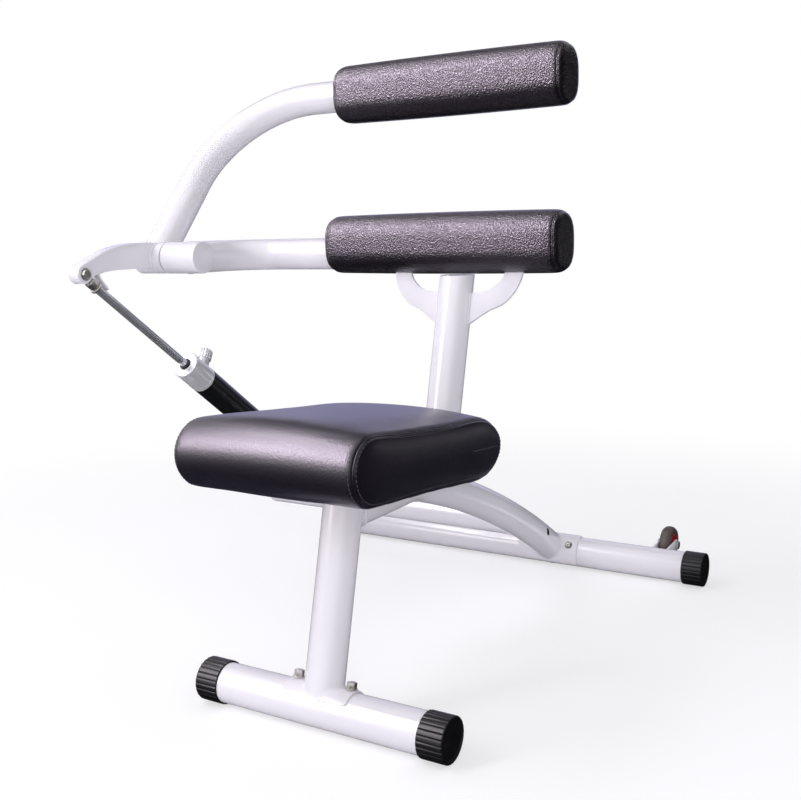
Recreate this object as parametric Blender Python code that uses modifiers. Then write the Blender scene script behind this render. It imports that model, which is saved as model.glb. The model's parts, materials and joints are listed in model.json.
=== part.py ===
"""Hydraulic back extension machine: a seat and two back pads on a white tube frame.

The upper pad sits on an arm that swings about a pivot beside the user, and a hydraulic
cylinder with a flow valve brakes it through a short lever.

Working frame: X = 0 is the plane of the two posts, +X is the right of someone who faces the
machine. Y = 0 is the axis of the front foot tube and +Y runs to the back. The floor is Z = 0.
At the end the whole machine is moved so that the middle of its box's underside is the origin.
"""

from math import acos, atan2, cos, hypot, pi, radians, sin

import bmesh
import bpy
from mathutils import Matrix, Vector

# Fits
GAP = 0.0003            # between pieces that touch, seat on each other or are welded
BOLT_GAP = 0.0003       # radial, round a bolt in its hole
RUNNING_GAP = 0.0004    # radial, between a turning piece and its shaft
SLIDING_GAP = 0.0003    # radial, round the piston rod
ROUND = 24              # sides of a turned piece
TUBE_ROUND = 20         # sides of a frame tube
SMALL_ROUND = 16        # sides of a bolt or pin

# Frame tubes
FOOT_TUBE_RADIUS = 0.030
POST_RADIUS = 0.029
TUBE_RADIUS = 0.0285
TUBE_WALL = 0.0022
COPE_START = 0.008      # a tube coped onto a round piece of its own size starts this far off its axis

# Foot caps
CAP_RADIUS = 0.0326
CAP_LENGTH = 0.0395
CAP_END_WALL = 0.0045
CAP_RIBS = 24
CAP_GROOVE = 0.0012
CAP_CREST_SHARE = 0.62
CAP_DISH_DEPTH = 0.0012
CAP_RIM = 0.0050
CAP_CREST_HALF = CAP_CREST_SHARE * pi / CAP_RIBS
FOOT_Z = CAP_RADIUS * cos(CAP_CREST_HALF)

# Front foot and rear stabiliser
FRONT_HALF_LENGTH = 0.210
REAR_Y = 0.834
REAR_RIGHT_X = 0.317
REAR_LEFT_X = -0.520
REAR_MIDDLE_X = (REAR_RIGHT_X + REAR_LEFT_X) / 2

# Saddle plates between the foot tubes and the beams
SADDLE_THICKNESS = 0.003
FRONT_SADDLE_HALF_LENGTH = 0.0545
FRONT_SADDLE_WRAP = radians(60)
REAR_SADDLE_HALF_LENGTH = 0.0635
REAR_SADDLE_LOW = radians(-40)
REAR_SADDLE_HIGH = radians(104)
SADDLE_OUTER_RADIUS = FOOT_TUBE_RADIUS + GAP + SADDLE_THICKNESS
SADDLE_BOLT_X = 0.0455
SADDLE_BOLT_RADIUS = 0.004
FRONT_BOLT_HEAD_RADIUS = 0.0075
FRONT_BOLT_HEAD_HEIGHT = 0.0105
REAR_BOLT_HEAD_RADIUS = 0.0075
REAR_BOLT_HEAD_HEIGHT = 0.004
REAR_BOLT_RISE = radians(37)
SADDLE_BOLT_REACH = 0.016

# Seat post and back post
SEAT_POST_LEAN = radians(13.9)
BACK_POST_LEAN = radians(14.25)
BACK_POST_Y = 0.4228    # where its axis passes BACK_POST_Z
BACK_POST_Z = 0.6025
BACK_POST_FOOT_Y = 0.340

# Seat
SEAT_TILT = radians(5.6)
SEAT_WIDTH = 0.294
SEAT_MIDDLE_X = -0.002
SEAT_MIDDLE_Y = 0.0845
SEAT_UNDERSIDE_Z = 0.3426
SEAT_FRONT_REACH = 0.206
SEAT_REAR_REACH = 0.206
SEAT_SIDE_HEIGHT = 0.0938
SEAT_CROWN = 0.009
SEAT_FRONT_ROUND = 0.049
SEAT_REAR_ROUND_TOP = 0.094
SEAT_REAR_ROUND_LOW = 0.070
# The cushion's side panel: how far each station lies in from the side, and how far its outline
# is drawn in there
SEAT_SIDE_STATIONS = [(0.0, 0.030), (0.0025, 0.014), (0.0060, 0.003), (0.0100, 0.0)]
SEAT_BOARD_THICKNESS = 0.012
SEAT_BOARD_LENGTH = 0.236
SEAT_BOARD_WIDTH = 0.230
SEAT_PLATE_THICKNESS = 0.005
SEAT_PLATE_LENGTH = 0.120
SEAT_PLATE_WIDTH = 0.180
PLATE_CORNER = 0.012

# Arch beam from the seat post to the rear stabiliser
ARCH_Z = 0.3001
ARCH_LEVEL_END_Y = 0.235
ARCH_FRONT_BEND = 0.190
ARCH_RADIUS = 2.300
DRAIN_HOLE_Y = 0.795
DRAIN_HOLE_RADIUS = 0.004

# Cross tube that carries the cylinder's lower pin
CROSS_TUBE_Y = 0.650
CROSS_TUBE_END_X = -0.576
CROSS_CAP_FLANGE = 0.003
CROSS_CAP_DEPTH = 0.018

# Pads
PAD_DEPTH = 0.088
PAD_HEIGHT = 0.101
PAD_CORNER = 0.038
PAD_END_ROUND = 0.015
PAD_CROWN = 0.0015
LOWER_PAD_Y = 0.444
LOWER_PAD_Z = 0.6738
LOWER_PAD_LEFT_X = -0.255
LOWER_PAD_RIGHT_X = 0.187
UPPER_PAD_Y = 0.518
UPPER_PAD_Z = 0.9423
UPPER_PAD_LEFT_X = -0.278
UPPER_PAD_RIGHT_X = 0.1645
PAD_TUBE_STOP = 0.028   # the tube inside a pad ends this far short of the pad's right end

# Yoke plates under the lower pad
YOKE_THICKNESS = 0.006
YOKE_SLOT_GAP = 0.0006
YOKE_OUTER_X = 0.1205
YOKE_INNER_X = 0.0885
# Half of each outline below the pad, as distance from the post's axis and height over BACK_POST_Z
YOKE_LOWER = [(0.030, -0.065), (0.046, -0.0535), (0.066, -0.0405), (0.088, -0.0305), (0.106, -0.0125), (0.1165, 0.008)]
YOKE_UPPER = [(0.079, 0.007), (0.064, -0.005), (0.048, -0.010), (0.034, -0.011)]
YOKE_ROOT = 0.0174
YOKE_ROOT_LOW = -0.068
YOKE_ROOT_HIGH = -0.011
YOKE_STRAIGHT = 0.0192

# Pivot beside the user
PIVOT_Y = 0.278
PIVOT_Z = 0.658
PIVOT_RADIUS = 0.028
BOSS_RIGHT_X = -0.424
BOSS_LEFT_X = -0.5028
HUB_LEFT_X = -0.570
ARM_X = -0.536
BOSS_DISC_THICKNESS = 0.004
SHAFT_RADIUS = 0.0125
BUSH_WALL = 0.003
BUSH_LENGTH = 0.020
BUSH_FLANGE_RADIUS = 0.0262
BUSH_FLANGE_THICKNESS = 0.0016
SHAFT_WASHER_THICKNESS = 0.003
HUB_CAP_THICKNESS = 0.003
HUB_CAP_INSET = 0.004
EDGE_CHAMFER = 0.001

# Lower pad tube and upper arm
LOWER_TUBE_Y = 0.448
LOWER_TUBE_BEND = 0.090
UPPER_ARM_BEND = 0.190

# Lever on the hub
LEVER_PIN_Y = 0.098
LEVER_PIN_Z = 0.637
LEVER_WIDTH = 0.023
LEVER_PLATE = 0.0045
LEVER_NOSE_RADIUS = 0.016
LEVER_TOP_Z = 0.686
LEVER_PIN_RADIUS = 0.005
LEVER_BOLT_HEAD_RADIUS = 0.009
LEVER_BOLT_HEAD_HEIGHT = 0.0055
LEVER_SOCKET_RADIUS = 0.0038
LEVER_SOCKET_DEPTH = 0.0035
LEVER_NUT_HEIGHT = 0.008
LEVER_HEEL_Y = 0.273
LEVER_TOP = [(0.128, 0.6665), (0.152, 0.6755), (0.180, 0.6820), (0.210, 0.6855), (0.260, LEVER_TOP_Z)]
STOP_TAB_THICKNESS = 0.003
STOP_TAB_REACH = 0.060
STOP_TAB_OUTER = [(0.1290, 0.664), (0.1290, 0.643), (0.1330, 0.629), (0.1440, 0.6170)]
STOP_TAB_INNER = [(0.1462, 0.6200), (0.1358, 0.6308), (0.1320, 0.6440), (0.1320, 0.664)]

# Hydraulic cylinder, measured along its axis from the lever pin
CYLINDER_SLOPE = radians(37.10)
CYLINDER_PIN_REACH = 0.7002
ROD_RADIUS = 0.0075
ROD_EYE_RADIUS = 0.0110
ROD_EYE_WIDTH = 0.0130
ROD_SHANK_RADIUS = 0.0090
ROD_SHANK_START = 0.0215
ROD_COLLAR_RADIUS = 0.0115
ROD_COLLAR_START = 0.0360
ROD_COLLAR_END = 0.0415
HEAD_START = 0.299
HEAD_LENGTH = 0.0595
HEAD_CHAMFER = 0.0015
HEAD_SPIGOT = 0.008
BARREL_RADIUS = 0.0264
BARREL_WALL = 0.004
BARREL_END = 0.655
SEAL_RADIUS = 0.0110
SEAL_OUT = 0.004
SEAL_IN = 0.005
PISTON_RADIUS_GAP = 0.0006
PISTON_START = 0.380
PISTON_LENGTH = 0.018
END_CAP_LENGTH = 0.016
LOWER_PIN_RADIUS = 0.006
# The lower eye is the pivot where the linkage stays open: its bore is wider than the pin
OPEN_PIVOT_SLACK = 0.0064
LOWER_EYE_WALL = 0.0076
LOWER_EYE_WIDTH = 0.024
LOWER_EYE_NECK = 0.012
LUG_THICKNESS = 0.005
LUG_RADIUS = 0.016
LUG_FOOT = 0.026
LUG_SIDE_GAP = 0.0010
PIN_HEAD_RADIUS = 0.0095
PIN_HEAD_HEIGHT = 0.007
PIN_NUT_RADIUS = 0.0100
PIN_NUT_HEIGHT = 0.009
PIN_TAIL = 0.002

# Valve knob on the cylinder head
KNOB_REACH = 0.346
KNOB_TURN = radians(12)
KNOB_RADIUS = 0.0145
KNOB_HEIGHT = 0.0215
KNOB_FLUTES = 16
KNOB_FLUTE_DEPTH = 0.0009
KNOB_COLLAR_RADIUS = 0.0100
KNOB_COLLAR_HEIGHT = 0.0025
KNOB_STEM_RADIUS = 0.004
KNOB_STEM_DEPTH = 0.010
KNOB_SEAT_RADIUS = 0.0120
KNOB_SEAT_HEIGHT = 0.0095

# Transport wheels on the rear stabiliser
WHEEL_RADIUS = 0.036
WHEEL_WIDTH = 0.022
WHEEL_CROWN = 0.0045
WHEEL_Y = 0.905
WHEEL_Z = 0.0527
WHEEL_RIGHT_X = 0.2237
WHEEL_HUB_RADIUS = 0.022
WHEEL_HUB_RIM = 0.0035
WHEEL_HUB_WALL = 0.005
WHEEL_HUB_WEB = 0.010
WHEEL_SIDE_GAP = 0.002
EAR_THICKNESS = 0.003
EAR_RADIUS = 0.011
EAR_FOOT_LOW = -0.015
EAR_FOOT_HIGH = 0.027
AXLE_RADIUS = 0.005
AXLE_HEAD_RADIUS = 0.0085
AXLE_HEAD_HEIGHT = 0.005

COLOURS = {
    "white_powder_coat": ((0.87, 0.87, 0.88), 0.25, 0.0),
    "black_vinyl": ((0.018, 0.018, 0.020), 0.45, 0.0),
    "black_plastic": ((0.015, 0.015, 0.016), 0.45, 0.0),
    "zinc_steel": ((0.62, 0.61, 0.58), 0.30, 1.0),
    "chrome": ((0.78, 0.78, 0.80), 0.08, 1.0),
    "machined_aluminium": ((0.75, 0.76, 0.77), 0.28, 1.0),
    "black_paint": ((0.012, 0.012, 0.013), 0.35, 0.0),
    "seal_rubber": ((0.03, 0.03, 0.03), 0.60, 0.0),
    "bronze": ((0.55, 0.36, 0.17), 0.35, 1.0),
    "plywood": ((0.50, 0.34, 0.18), 0.70, 0.0),
    "grey_rubber": ((0.20, 0.20, 0.21), 0.70, 0.0),
    "red_plastic": ((0.55, 0.04, 0.03), 0.40, 0.0),
    "steel": ((0.45, 0.45, 0.46), 0.40, 1.0),
}

X_AXIS = Vector((1, 0, 0))
Y_AXIS = Vector((0, 1, 0))
Z_AXIS = Vector((0, 0, 1))


def clear_scene():
    for obj in list(bpy.data.objects):
        bpy.data.objects.remove(obj)
    for mesh in list(bpy.data.meshes):
        bpy.data.meshes.remove(mesh)


clear_scene()

PARTS = bpy.data.collections.new("back_extension_machine")
CUTTERS = bpy.data.collections.new("cutters")
bpy.context.scene.collection.children.link(PARTS)
bpy.context.scene.collection.children.link(CUTTERS)
CUTTERS.hide_render = True
WORLD = {}


# Materials, empties and placing


def material(name):
    found = bpy.data.materials.get(name)
    if found:
        return found
    colour, roughness, metallic = COLOURS[name]
    made = bpy.data.materials.new(name)
    made.use_nodes = True
    shader = made.node_tree.nodes["Principled BSDF"]
    shader.inputs["Base Color"].default_value = (*colour, 1)
    shader.inputs["Roughness"].default_value = roughness
    shader.inputs["Metallic"].default_value = metallic
    return made


def frame_at(origin, z_axis, x_axis):
    """Matrix with local Z along z_axis, and local X as near to x_axis as it can be."""
    z = Vector(z_axis).normalized()
    x = Vector(x_axis)
    x = (x - z * x.dot(z)).normalized()
    matrix = Matrix((x, z.cross(x), z)).transposed().to_4x4()
    matrix.translation = Vector(origin)
    return matrix


def side_plane(x):
    """Local x, y and z run along the machine's Y, Z and X, with the origin in the plane X = x."""
    return frame_at((x, 0, 0), X_AXIS, Y_AXIS)


def empty(name, matrix, parent=None):
    made = bpy.data.objects.new(name, None)
    made.empty_display_size = 0.05
    PARTS.objects.link(made)
    WORLD[name] = matrix
    return place(made, matrix, parent)


def place(obj, matrix, parent):
    obj.parent = parent
    obj.matrix_basis = WORLD[parent.name].inverted() @ matrix if parent else matrix
    return obj


def finish(obj, colour, parent, smooth=True):
    """Gives an object its material, shading and parent. Its matrix is still the machine's."""
    matrix = obj.matrix_basis.copy()
    PARTS.objects.link(obj)
    obj.data.materials.clear()
    obj.data.materials.append(material(colour))
    if smooth and obj.type == "MESH":
        obj.data.shade_smooth()
        obj.data.set_sharp_from_angle(angle=radians(35))
    return place(obj, matrix, parent)


def new_object(name, data, matrix):
    obj = bpy.data.objects.new(name, data)
    obj.matrix_basis = matrix
    return obj


def mesh_object(name, bm, matrix):
    mesh = bpy.data.meshes.new(name)
    bm.to_mesh(mesh)
    bm.free()
    return new_object(name, mesh, matrix)


# Shapes


def rod_shape(name, matrix, radius, start, end, sides=ROUND):
    """Plain cylinder along local Z, from start to end, with a flat side face on local X."""
    bm = bmesh.new()
    turn = Matrix.Rotation(pi / sides, 4, "Z")
    middle = Matrix.Translation((0, 0, (start + end) / 2))
    bmesh.ops.create_cone(
        bm, cap_ends=True, segments=sides, radius1=radius, radius2=radius,
        depth=end - start, matrix=middle @ turn)
    return mesh_object(name, bm, matrix)


def bore_shape(name, matrix, radius, start, end, sides=ROUND):
    """Cutter for a round hole or seat: its flats, not its corners, lie at the radius."""
    return rod_shape(name, matrix, radius / cos(pi / sides), start, end, sides)


def box_shape(name, matrix, low, high):
    bm = bmesh.new()
    size = Vector(high) - Vector(low)
    middle = (Vector(high) + Vector(low)) / 2
    bmesh.ops.create_cube(bm, size=1, matrix=Matrix.Translation(middle) @ Matrix.Diagonal((*size, 1)))
    return mesh_object(name, bm, matrix)


def turned_shape(name, matrix, profile, sides=ROUND, closed=False):
    """Profile of (radius, height) points, down the outer side, turned about local Z."""
    bm = bmesh.new()
    points = [bm.verts.new((radius, 0, height)) for radius, height in profile]
    for first, second in zip(points, points[1:]):
        bm.edges.new((first, second))
    if closed:
        bm.edges.new((points[-1], points[0]))
    obj = mesh_object(name, bm, matrix)
    screw = obj.modifiers.new("turn", "SCREW")
    screw.steps = sides
    screw.render_steps = sides
    screw.use_merge_vertices = True
    screw.merge_threshold = 0.00001
    return obj


def ring_shape(name, matrix, inner, outer, start, end, sides=ROUND):
    profile = [(outer, end), (outer, start), (inner, start), (inner, end)]
    return turned_shape(name, matrix, profile, sides, closed=True)


def plate_shape(name, matrix, outline, thickness):
    """Flat outline in local x and y, of even thickness on both sides of the local plane."""
    curve = bpy.data.curves.new(name, "CURVE")
    curve.dimensions = "2D"
    curve.fill_mode = "BOTH"
    curve.extrude = thickness / 2
    spline = curve.splines.new("POLY")
    spline.points.add(len(outline) - 1)
    for point, (x, y) in zip(spline.points, outline):
        point.co = (x, y, 0, 1)
    spline.use_cyclic_u = True
    return to_mesh(new_object(name, curve, matrix))


def swept_shape(name, path, radius, sides=TUBE_ROUND, capped=True):
    """Round bar along a list of points. Without caps it is an open skin."""
    curve = bpy.data.curves.new(name, "CURVE")
    curve.dimensions = "3D"
    curve.bevel_depth = radius
    curve.bevel_resolution = (sides - 4) // 2
    curve.use_fill_caps = capped
    spline = curve.splines.new("POLY")
    spline.points.add(len(path) - 1)
    for point, place_on_path in zip(spline.points, path):
        point.co = (*place_on_path, 1)
    return to_mesh(new_object(name, curve, Matrix()))


def to_mesh(curve_object):
    """The mesh that a curve object makes, as a new object with its caps welded on."""
    PARTS.objects.link(curve_object)
    graph = bpy.context.evaluated_depsgraph_get()
    mesh = bpy.data.meshes.new_from_object(curve_object.evaluated_get(graph))
    bm = bmesh.new()
    bm.from_mesh(mesh)
    bmesh.ops.remove_doubles(bm, verts=bm.verts, dist=0.00001)
    bm.to_mesh(mesh)
    bm.free()
    name = curve_object.name
    matrix = curve_object.matrix_basis.copy()
    bpy.data.objects.remove(curve_object)
    mesh.name = name
    return new_object(name, mesh, matrix)


def hollow_tube(name, path, radius, wall=TUBE_WALL, sides=TUBE_ROUND):
    tube = swept_shape(name, path, radius, sides, capped=False)
    shell = tube.modifiers.new("wall", "SOLIDIFY")
    shell.thickness = wall
    shell.offset = -1
    shell.use_even_offset = True
    return tube


def loft_shape(name, matrix, sections):
    """Skin through closed sections of equal length, with a flat face on each end."""
    bm = bmesh.new()
    rings = [[bm.verts.new(point) for point in section] for section in sections]
    count = len(rings[0])
    for ring, following in zip(rings, rings[1:]):
        for i in range(count):
            j = (i + 1) % count
            bm.faces.new((ring[i], ring[j], following[j], following[i]))
    bm.faces.new(rings[0][::-1])
    bm.faces.new(rings[-1])
    bmesh.ops.recalc_face_normals(bm, faces=bm.faces)
    return mesh_object(name, bm, matrix)


# Cutting and joining


def combine(obj, operation, other):
    """Boolean of obj with another object that is only used for this."""
    CUTTERS.objects.link(other)
    other.hide_render = True
    other.display_type = "WIRE"
    other.parent = MACHINE
    step = obj.modifiers.new(operation.lower(), "BOOLEAN")
    step.operation = operation
    step.object = other
    return obj


def cut(obj, *cutters):
    for cutter in cutters:
        combine(obj, "DIFFERENCE", cutter)
    return obj


def join(obj, *others):
    for other in others:
        combine(obj, "UNION", other)
    return obj


# Outlines and paths


def arc(centre, radius, first, last, steps):
    """Points on an arc, with angles from local x towards local y."""
    turn = (last - first) / steps
    return [
        (centre[0] + radius * cos(first + turn * i), centre[1] + radius * sin(first + turn * i))
        for i in range(steps + 1)
    ]


def arc_strip(centre, inner, outer, first, last, steps):
    return arc(centre, outer, first, last, steps) + arc(centre, inner, last, first, steps)


def rounded_rectangle(width, height, corner, steps=4):
    """Outline round the local origin, width along x."""
    points = []
    for quarter, (sx, sy) in enumerate(((1, 1), (-1, 1), (-1, -1), (1, -1))):
        middle = (sx * (width / 2 - corner), sy * (height / 2 - corner))
        points += arc(middle, corner, quarter * pi / 2, (quarter + 1) * pi / 2, steps)
    return points


def tapered_lug(eye, eye_radius, foot_low, foot_high):
    """Plate outline: straight edges from the two ends of a foot to a round eye, tangent to it."""
    low = Vector(foot_low) - Vector(eye)
    high = Vector(foot_high) - Vector(eye)
    side = 1 if low.cross(high) > 0 else -1
    first = atan2(high.y, high.x) + side * acos(eye_radius / high.length)
    last = atan2(low.y, low.x) - side * acos(eye_radius / low.length)
    turn = (last - first) * side % (2 * pi)
    return [foot_low, foot_high] + arc(eye, eye_radius, first, first + side * turn, 12)


def circle_meeting(first, first_radius, second, second_radius):
    """The lower of the two points at the given distances from two centres."""
    away = Vector(second) - Vector(first)
    distance = away.length
    along = (first_radius**2 - second_radius**2 + distance**2) / (2 * distance)
    across = (first_radius**2 - along**2) ** 0.5
    step = away / distance
    options = [
        Vector(first) + step * along + Vector((-step.y, step.x)) * side * across
        for side in (1, -1)
    ]
    return min(options, key=lambda point: point.y)


# Joint axes and shared lines

SEAT_POST_UP = Vector((0, sin(SEAT_POST_LEAN), cos(SEAT_POST_LEAN)))
BACK_POST_UP = Vector((0, sin(BACK_POST_LEAN), cos(BACK_POST_LEAN)))
SEAT_BACK = Vector((0, cos(SEAT_TILT), -sin(SEAT_TILT)))
SEAT_UP = Vector((0, sin(SEAT_TILT), cos(SEAT_TILT)))
FRONT_AXIS = Vector((0, 0, FOOT_Z))
REAR_AXIS = Vector((0, REAR_Y, FOOT_Z))
PIVOT = Vector((ARM_X, PIVOT_Y, PIVOT_Z))
LEVER_PIN = Vector((ARM_X, LEVER_PIN_Y, LEVER_PIN_Z))
CYLINDER_DOWN = Vector((0, cos(CYLINDER_SLOPE), -sin(CYLINDER_SLOPE)))
CYLINDER_OUT = Vector((0, sin(CYLINDER_SLOPE), cos(CYLINDER_SLOPE)))
LOWER_PIN = LEVER_PIN + CYLINDER_DOWN * CYLINDER_PIN_REACH
CYLINDER = frame_at(LEVER_PIN, CYLINDER_DOWN, X_AXIS)
KNOB_OUT = CYLINDER_OUT * cos(KNOB_TURN) - X_AXIS * sin(KNOB_TURN)
KNOB_BASE = LEVER_PIN + CYLINDER_DOWN * KNOB_REACH
SEAT = frame_at((SEAT_MIDDLE_X, SEAT_MIDDLE_Y, SEAT_UNDERSIDE_Z), SEAT_UP, X_AXIS)

MACHINE = empty("machine", Matrix())
ARM = empty("arm_pivot", Matrix.Translation(PIVOT), MACHINE)
ROD = empty("rod_pivot", Matrix.Translation(LEVER_PIN), ARM)
BARREL = empty("cylinder_slide", CYLINDER, ROD)
KNOB = empty("knob_axis", frame_at(KNOB_BASE, KNOB_OUT, CYLINDER_DOWN), BARREL)


def seat_post_point(z):
    return FRONT_AXIS + SEAT_POST_UP * ((z - FOOT_Z) / cos(SEAT_POST_LEAN))


def back_post_point(z):
    return Vector((0, BACK_POST_Y, BACK_POST_Z)) + BACK_POST_UP * ((z - BACK_POST_Z) / cos(BACK_POST_LEAN))


def arch_centres():
    """Centres of the arch's tight front bend and of its long bend, as (Y, Z)."""
    front = Vector((ARCH_LEVEL_END_Y, ARCH_Z - ARCH_FRONT_BEND))
    end = Vector((REAR_Y, FOOT_Z))
    return front, circle_meeting(front, ARCH_RADIUS - ARCH_FRONT_BEND, end, ARCH_RADIUS)


def arch_path():
    """Level from the seat post, then round the front bend and down the long one."""
    front, long_bend = arch_centres()
    turn = atan2(front.y - long_bend.y, front.x - long_bend.x)
    last = atan2(FOOT_Z - long_bend.y, REAR_Y - long_bend.x)
    start = seat_post_point(ARCH_Z)
    points = [(start.y, ARCH_Z)] + arc(front, ARCH_FRONT_BEND, pi / 2, turn, 4)
    points += arc(long_bend, ARCH_RADIUS, turn, last, 9)[1:]
    return [Vector((0, y, z)) for y, z in points]


def arch_height(y):
    long_bend = arch_centres()[1]
    return long_bend.y + (ARCH_RADIUS**2 - (y - long_bend.x) ** 2) ** 0.5


def arch_solid(name, extra):
    """The arch as a solid bar, whose flats clear the round tube by the extra radius."""
    return swept_shape(name, arch_path(), (TUBE_RADIUS + extra) / cos(pi / TUBE_ROUND))


# Front foot and rear stabiliser


def foot_cap(name, inner_x, side, axis):
    """Ribbed cup over a tube end. side is 1 at the right end and -1 at the left."""
    outline = []
    pitch = 2 * pi / CAP_RIBS
    for rib in range(CAP_RIBS):
        middle = -pi / 2 + rib * pitch
        outline += arc((0, 0), CAP_RADIUS, middle - CAP_CREST_HALF, middle + CAP_CREST_HALF, 1)
        outline += arc((0, 0), CAP_RADIUS - CAP_GROOVE, middle + pitch / 2, middle + pitch / 2, 1)[:1]
    outward = X_AXIS * side
    matrix = frame_at(axis + X_AXIS * inner_x, X_AXIS, Y_AXIS)
    middle = matrix @ Matrix.Translation((0, 0, side * CAP_LENGTH / 2))
    cap = plate_shape(name, middle, outline, CAP_LENGTH)
    cup = frame_at(axis + X_AXIS * inner_x, outward, Y_AXIS)
    inside = bore_shape(name + "_bore", cup, FOOT_TUBE_RADIUS + GAP, -CAP_LENGTH,
                       CAP_LENGTH - CAP_END_WALL)
    dish = rod_shape(name + "_dish", cup, CAP_RADIUS - CAP_RIM,
                     CAP_LENGTH - CAP_DISH_DEPTH, CAP_LENGTH * 2)
    return finish(cut(cap, inside, dish), "black_plastic", MACHINE)


def foot_tube(name, left_x, right_x, axis):
    """Tube between the end walls of its two caps, with a hole for each saddle bolt."""
    inset = CAP_END_WALL + GAP
    path = [axis + X_AXIS * (left_x + inset), axis + X_AXIS * (right_x - inset)]
    return hollow_tube(name, path, FOOT_TUBE_RADIUS)


def saddle_plate(name, axis, half_length, first, last):
    """Curved plate that wraps a foot tube between two angles, measured from +Y."""
    strip = arc_strip((axis.y, axis.z), FOOT_TUBE_RADIUS + GAP, SADDLE_OUTER_RADIUS, first, last, 20)
    return plate_shape(name, side_plane(0), strip, 2 * half_length)


def bolt_holes(name, axis, outward):
    return [
        bore_shape(f"{name}_hole_{side}", frame_at(axis + X_AXIS * x, outward, X_AXIS),
                  SADDLE_BOLT_RADIUS + BOLT_GAP, FOOT_TUBE_RADIUS / 2, FOOT_TUBE_RADIUS * 2,
                  SMALL_ROUND)
        for side, x in (("left", -SADDLE_BOLT_X), ("right", SADDLE_BOLT_X))
    ]


def saddle_bolts(name, axis, outward, head_radius, head_height, head_sides):
    """Bolts whose heads lie on a saddle and whose shanks go through it and the tube wall."""
    seat = SADDLE_OUTER_RADIUS + GAP
    for side, x in (("left", -SADDLE_BOLT_X), ("right", SADDLE_BOLT_X)):
        matrix = frame_at(axis + X_AXIS * x, outward, X_AXIS)
        bolt = rod_shape(f"{name}_{side}", matrix, head_radius, seat, seat + head_height, head_sides)
        shank = rod_shape(f"{name}_{side}_shank", matrix, SADDLE_BOLT_RADIUS,
                          seat - SADDLE_BOLT_REACH, seat + head_height / 2, SMALL_ROUND)
        finish(join(bolt, shank), "zinc_steel", MACHINE)


def front_foot():
    tube = foot_tube("front_tube", -FRONT_HALF_LENGTH, FRONT_HALF_LENGTH, FRONT_AXIS)
    finish(cut(tube, *bolt_holes("front_tube", FRONT_AXIS, SEAT_POST_UP)), "white_powder_coat", MACHINE)
    inner = FRONT_HALF_LENGTH - CAP_LENGTH
    foot_cap("front_cap_left", -inner, -1, FRONT_AXIS)
    foot_cap("front_cap_right", inner, 1, FRONT_AXIS)
    top = pi / 2 - SEAT_POST_LEAN
    saddle = saddle_plate("front_saddle", FRONT_AXIS, FRONT_SADDLE_HALF_LENGTH,
                          top - FRONT_SADDLE_WRAP, top + FRONT_SADDLE_WRAP)
    holes = bolt_holes("front_saddle", FRONT_AXIS, SEAT_POST_UP)
    finish(cut(saddle, *holes), "white_powder_coat", MACHINE)
    saddle_bolts("front_saddle_bolt", FRONT_AXIS, SEAT_POST_UP, FRONT_BOLT_HEAD_RADIUS,
                 FRONT_BOLT_HEAD_HEIGHT, 6)


def rear_stabiliser():
    outward = Vector((0, -cos(REAR_BOLT_RISE), sin(REAR_BOLT_RISE)))
    tube = foot_tube("rear_tube", REAR_LEFT_X, REAR_RIGHT_X, REAR_AXIS)
    finish(cut(tube, *bolt_holes("rear_tube", REAR_AXIS, outward)), "white_powder_coat", MACHINE)
    foot_cap("rear_cap_left", REAR_LEFT_X + CAP_LENGTH, -1, REAR_AXIS)
    foot_cap("rear_cap_right", REAR_RIGHT_X - CAP_LENGTH, 1, REAR_AXIS)
    saddle = saddle_plate("rear_saddle", REAR_AXIS, REAR_SADDLE_HALF_LENGTH,
                          pi - REAR_SADDLE_HIGH, pi - REAR_SADDLE_LOW)
    finish(cut(saddle, *bolt_holes("rear_saddle", REAR_AXIS, outward)), "white_powder_coat", MACHINE)
    saddle_bolts("rear_saddle_bolt", REAR_AXIS, outward, REAR_BOLT_HEAD_RADIUS,
                 REAR_BOLT_HEAD_HEIGHT, SMALL_ROUND)


def wheel_ear(name, x):
    """Flat ear on the back of the rear tube, round at the wheel's axle."""
    outline = tapered_lug((WHEEL_Y, WHEEL_Z), EAR_RADIUS,
                          (REAR_Y, FOOT_Z + EAR_FOOT_LOW), (REAR_Y, FOOT_Z + EAR_FOOT_HIGH))
    ear = plate_shape(name, side_plane(x), outline, EAR_THICKNESS)
    tube = bore_shape(name + "_seat", frame_at(REAR_AXIS, X_AXIS, Y_AXIS), FOOT_TUBE_RADIUS + GAP,
                     x - EAR_THICKNESS, x + EAR_THICKNESS)
    hole = bore_shape(name + "_hole", frame_at((0, WHEEL_Y, WHEEL_Z), X_AXIS, Y_AXIS),
                     AXLE_RADIUS + BOLT_GAP, x - EAR_THICKNESS, x + EAR_THICKNESS, SMALL_ROUND)
    return finish(cut(ear, tube, hole), "white_powder_coat", MACHINE)


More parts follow.
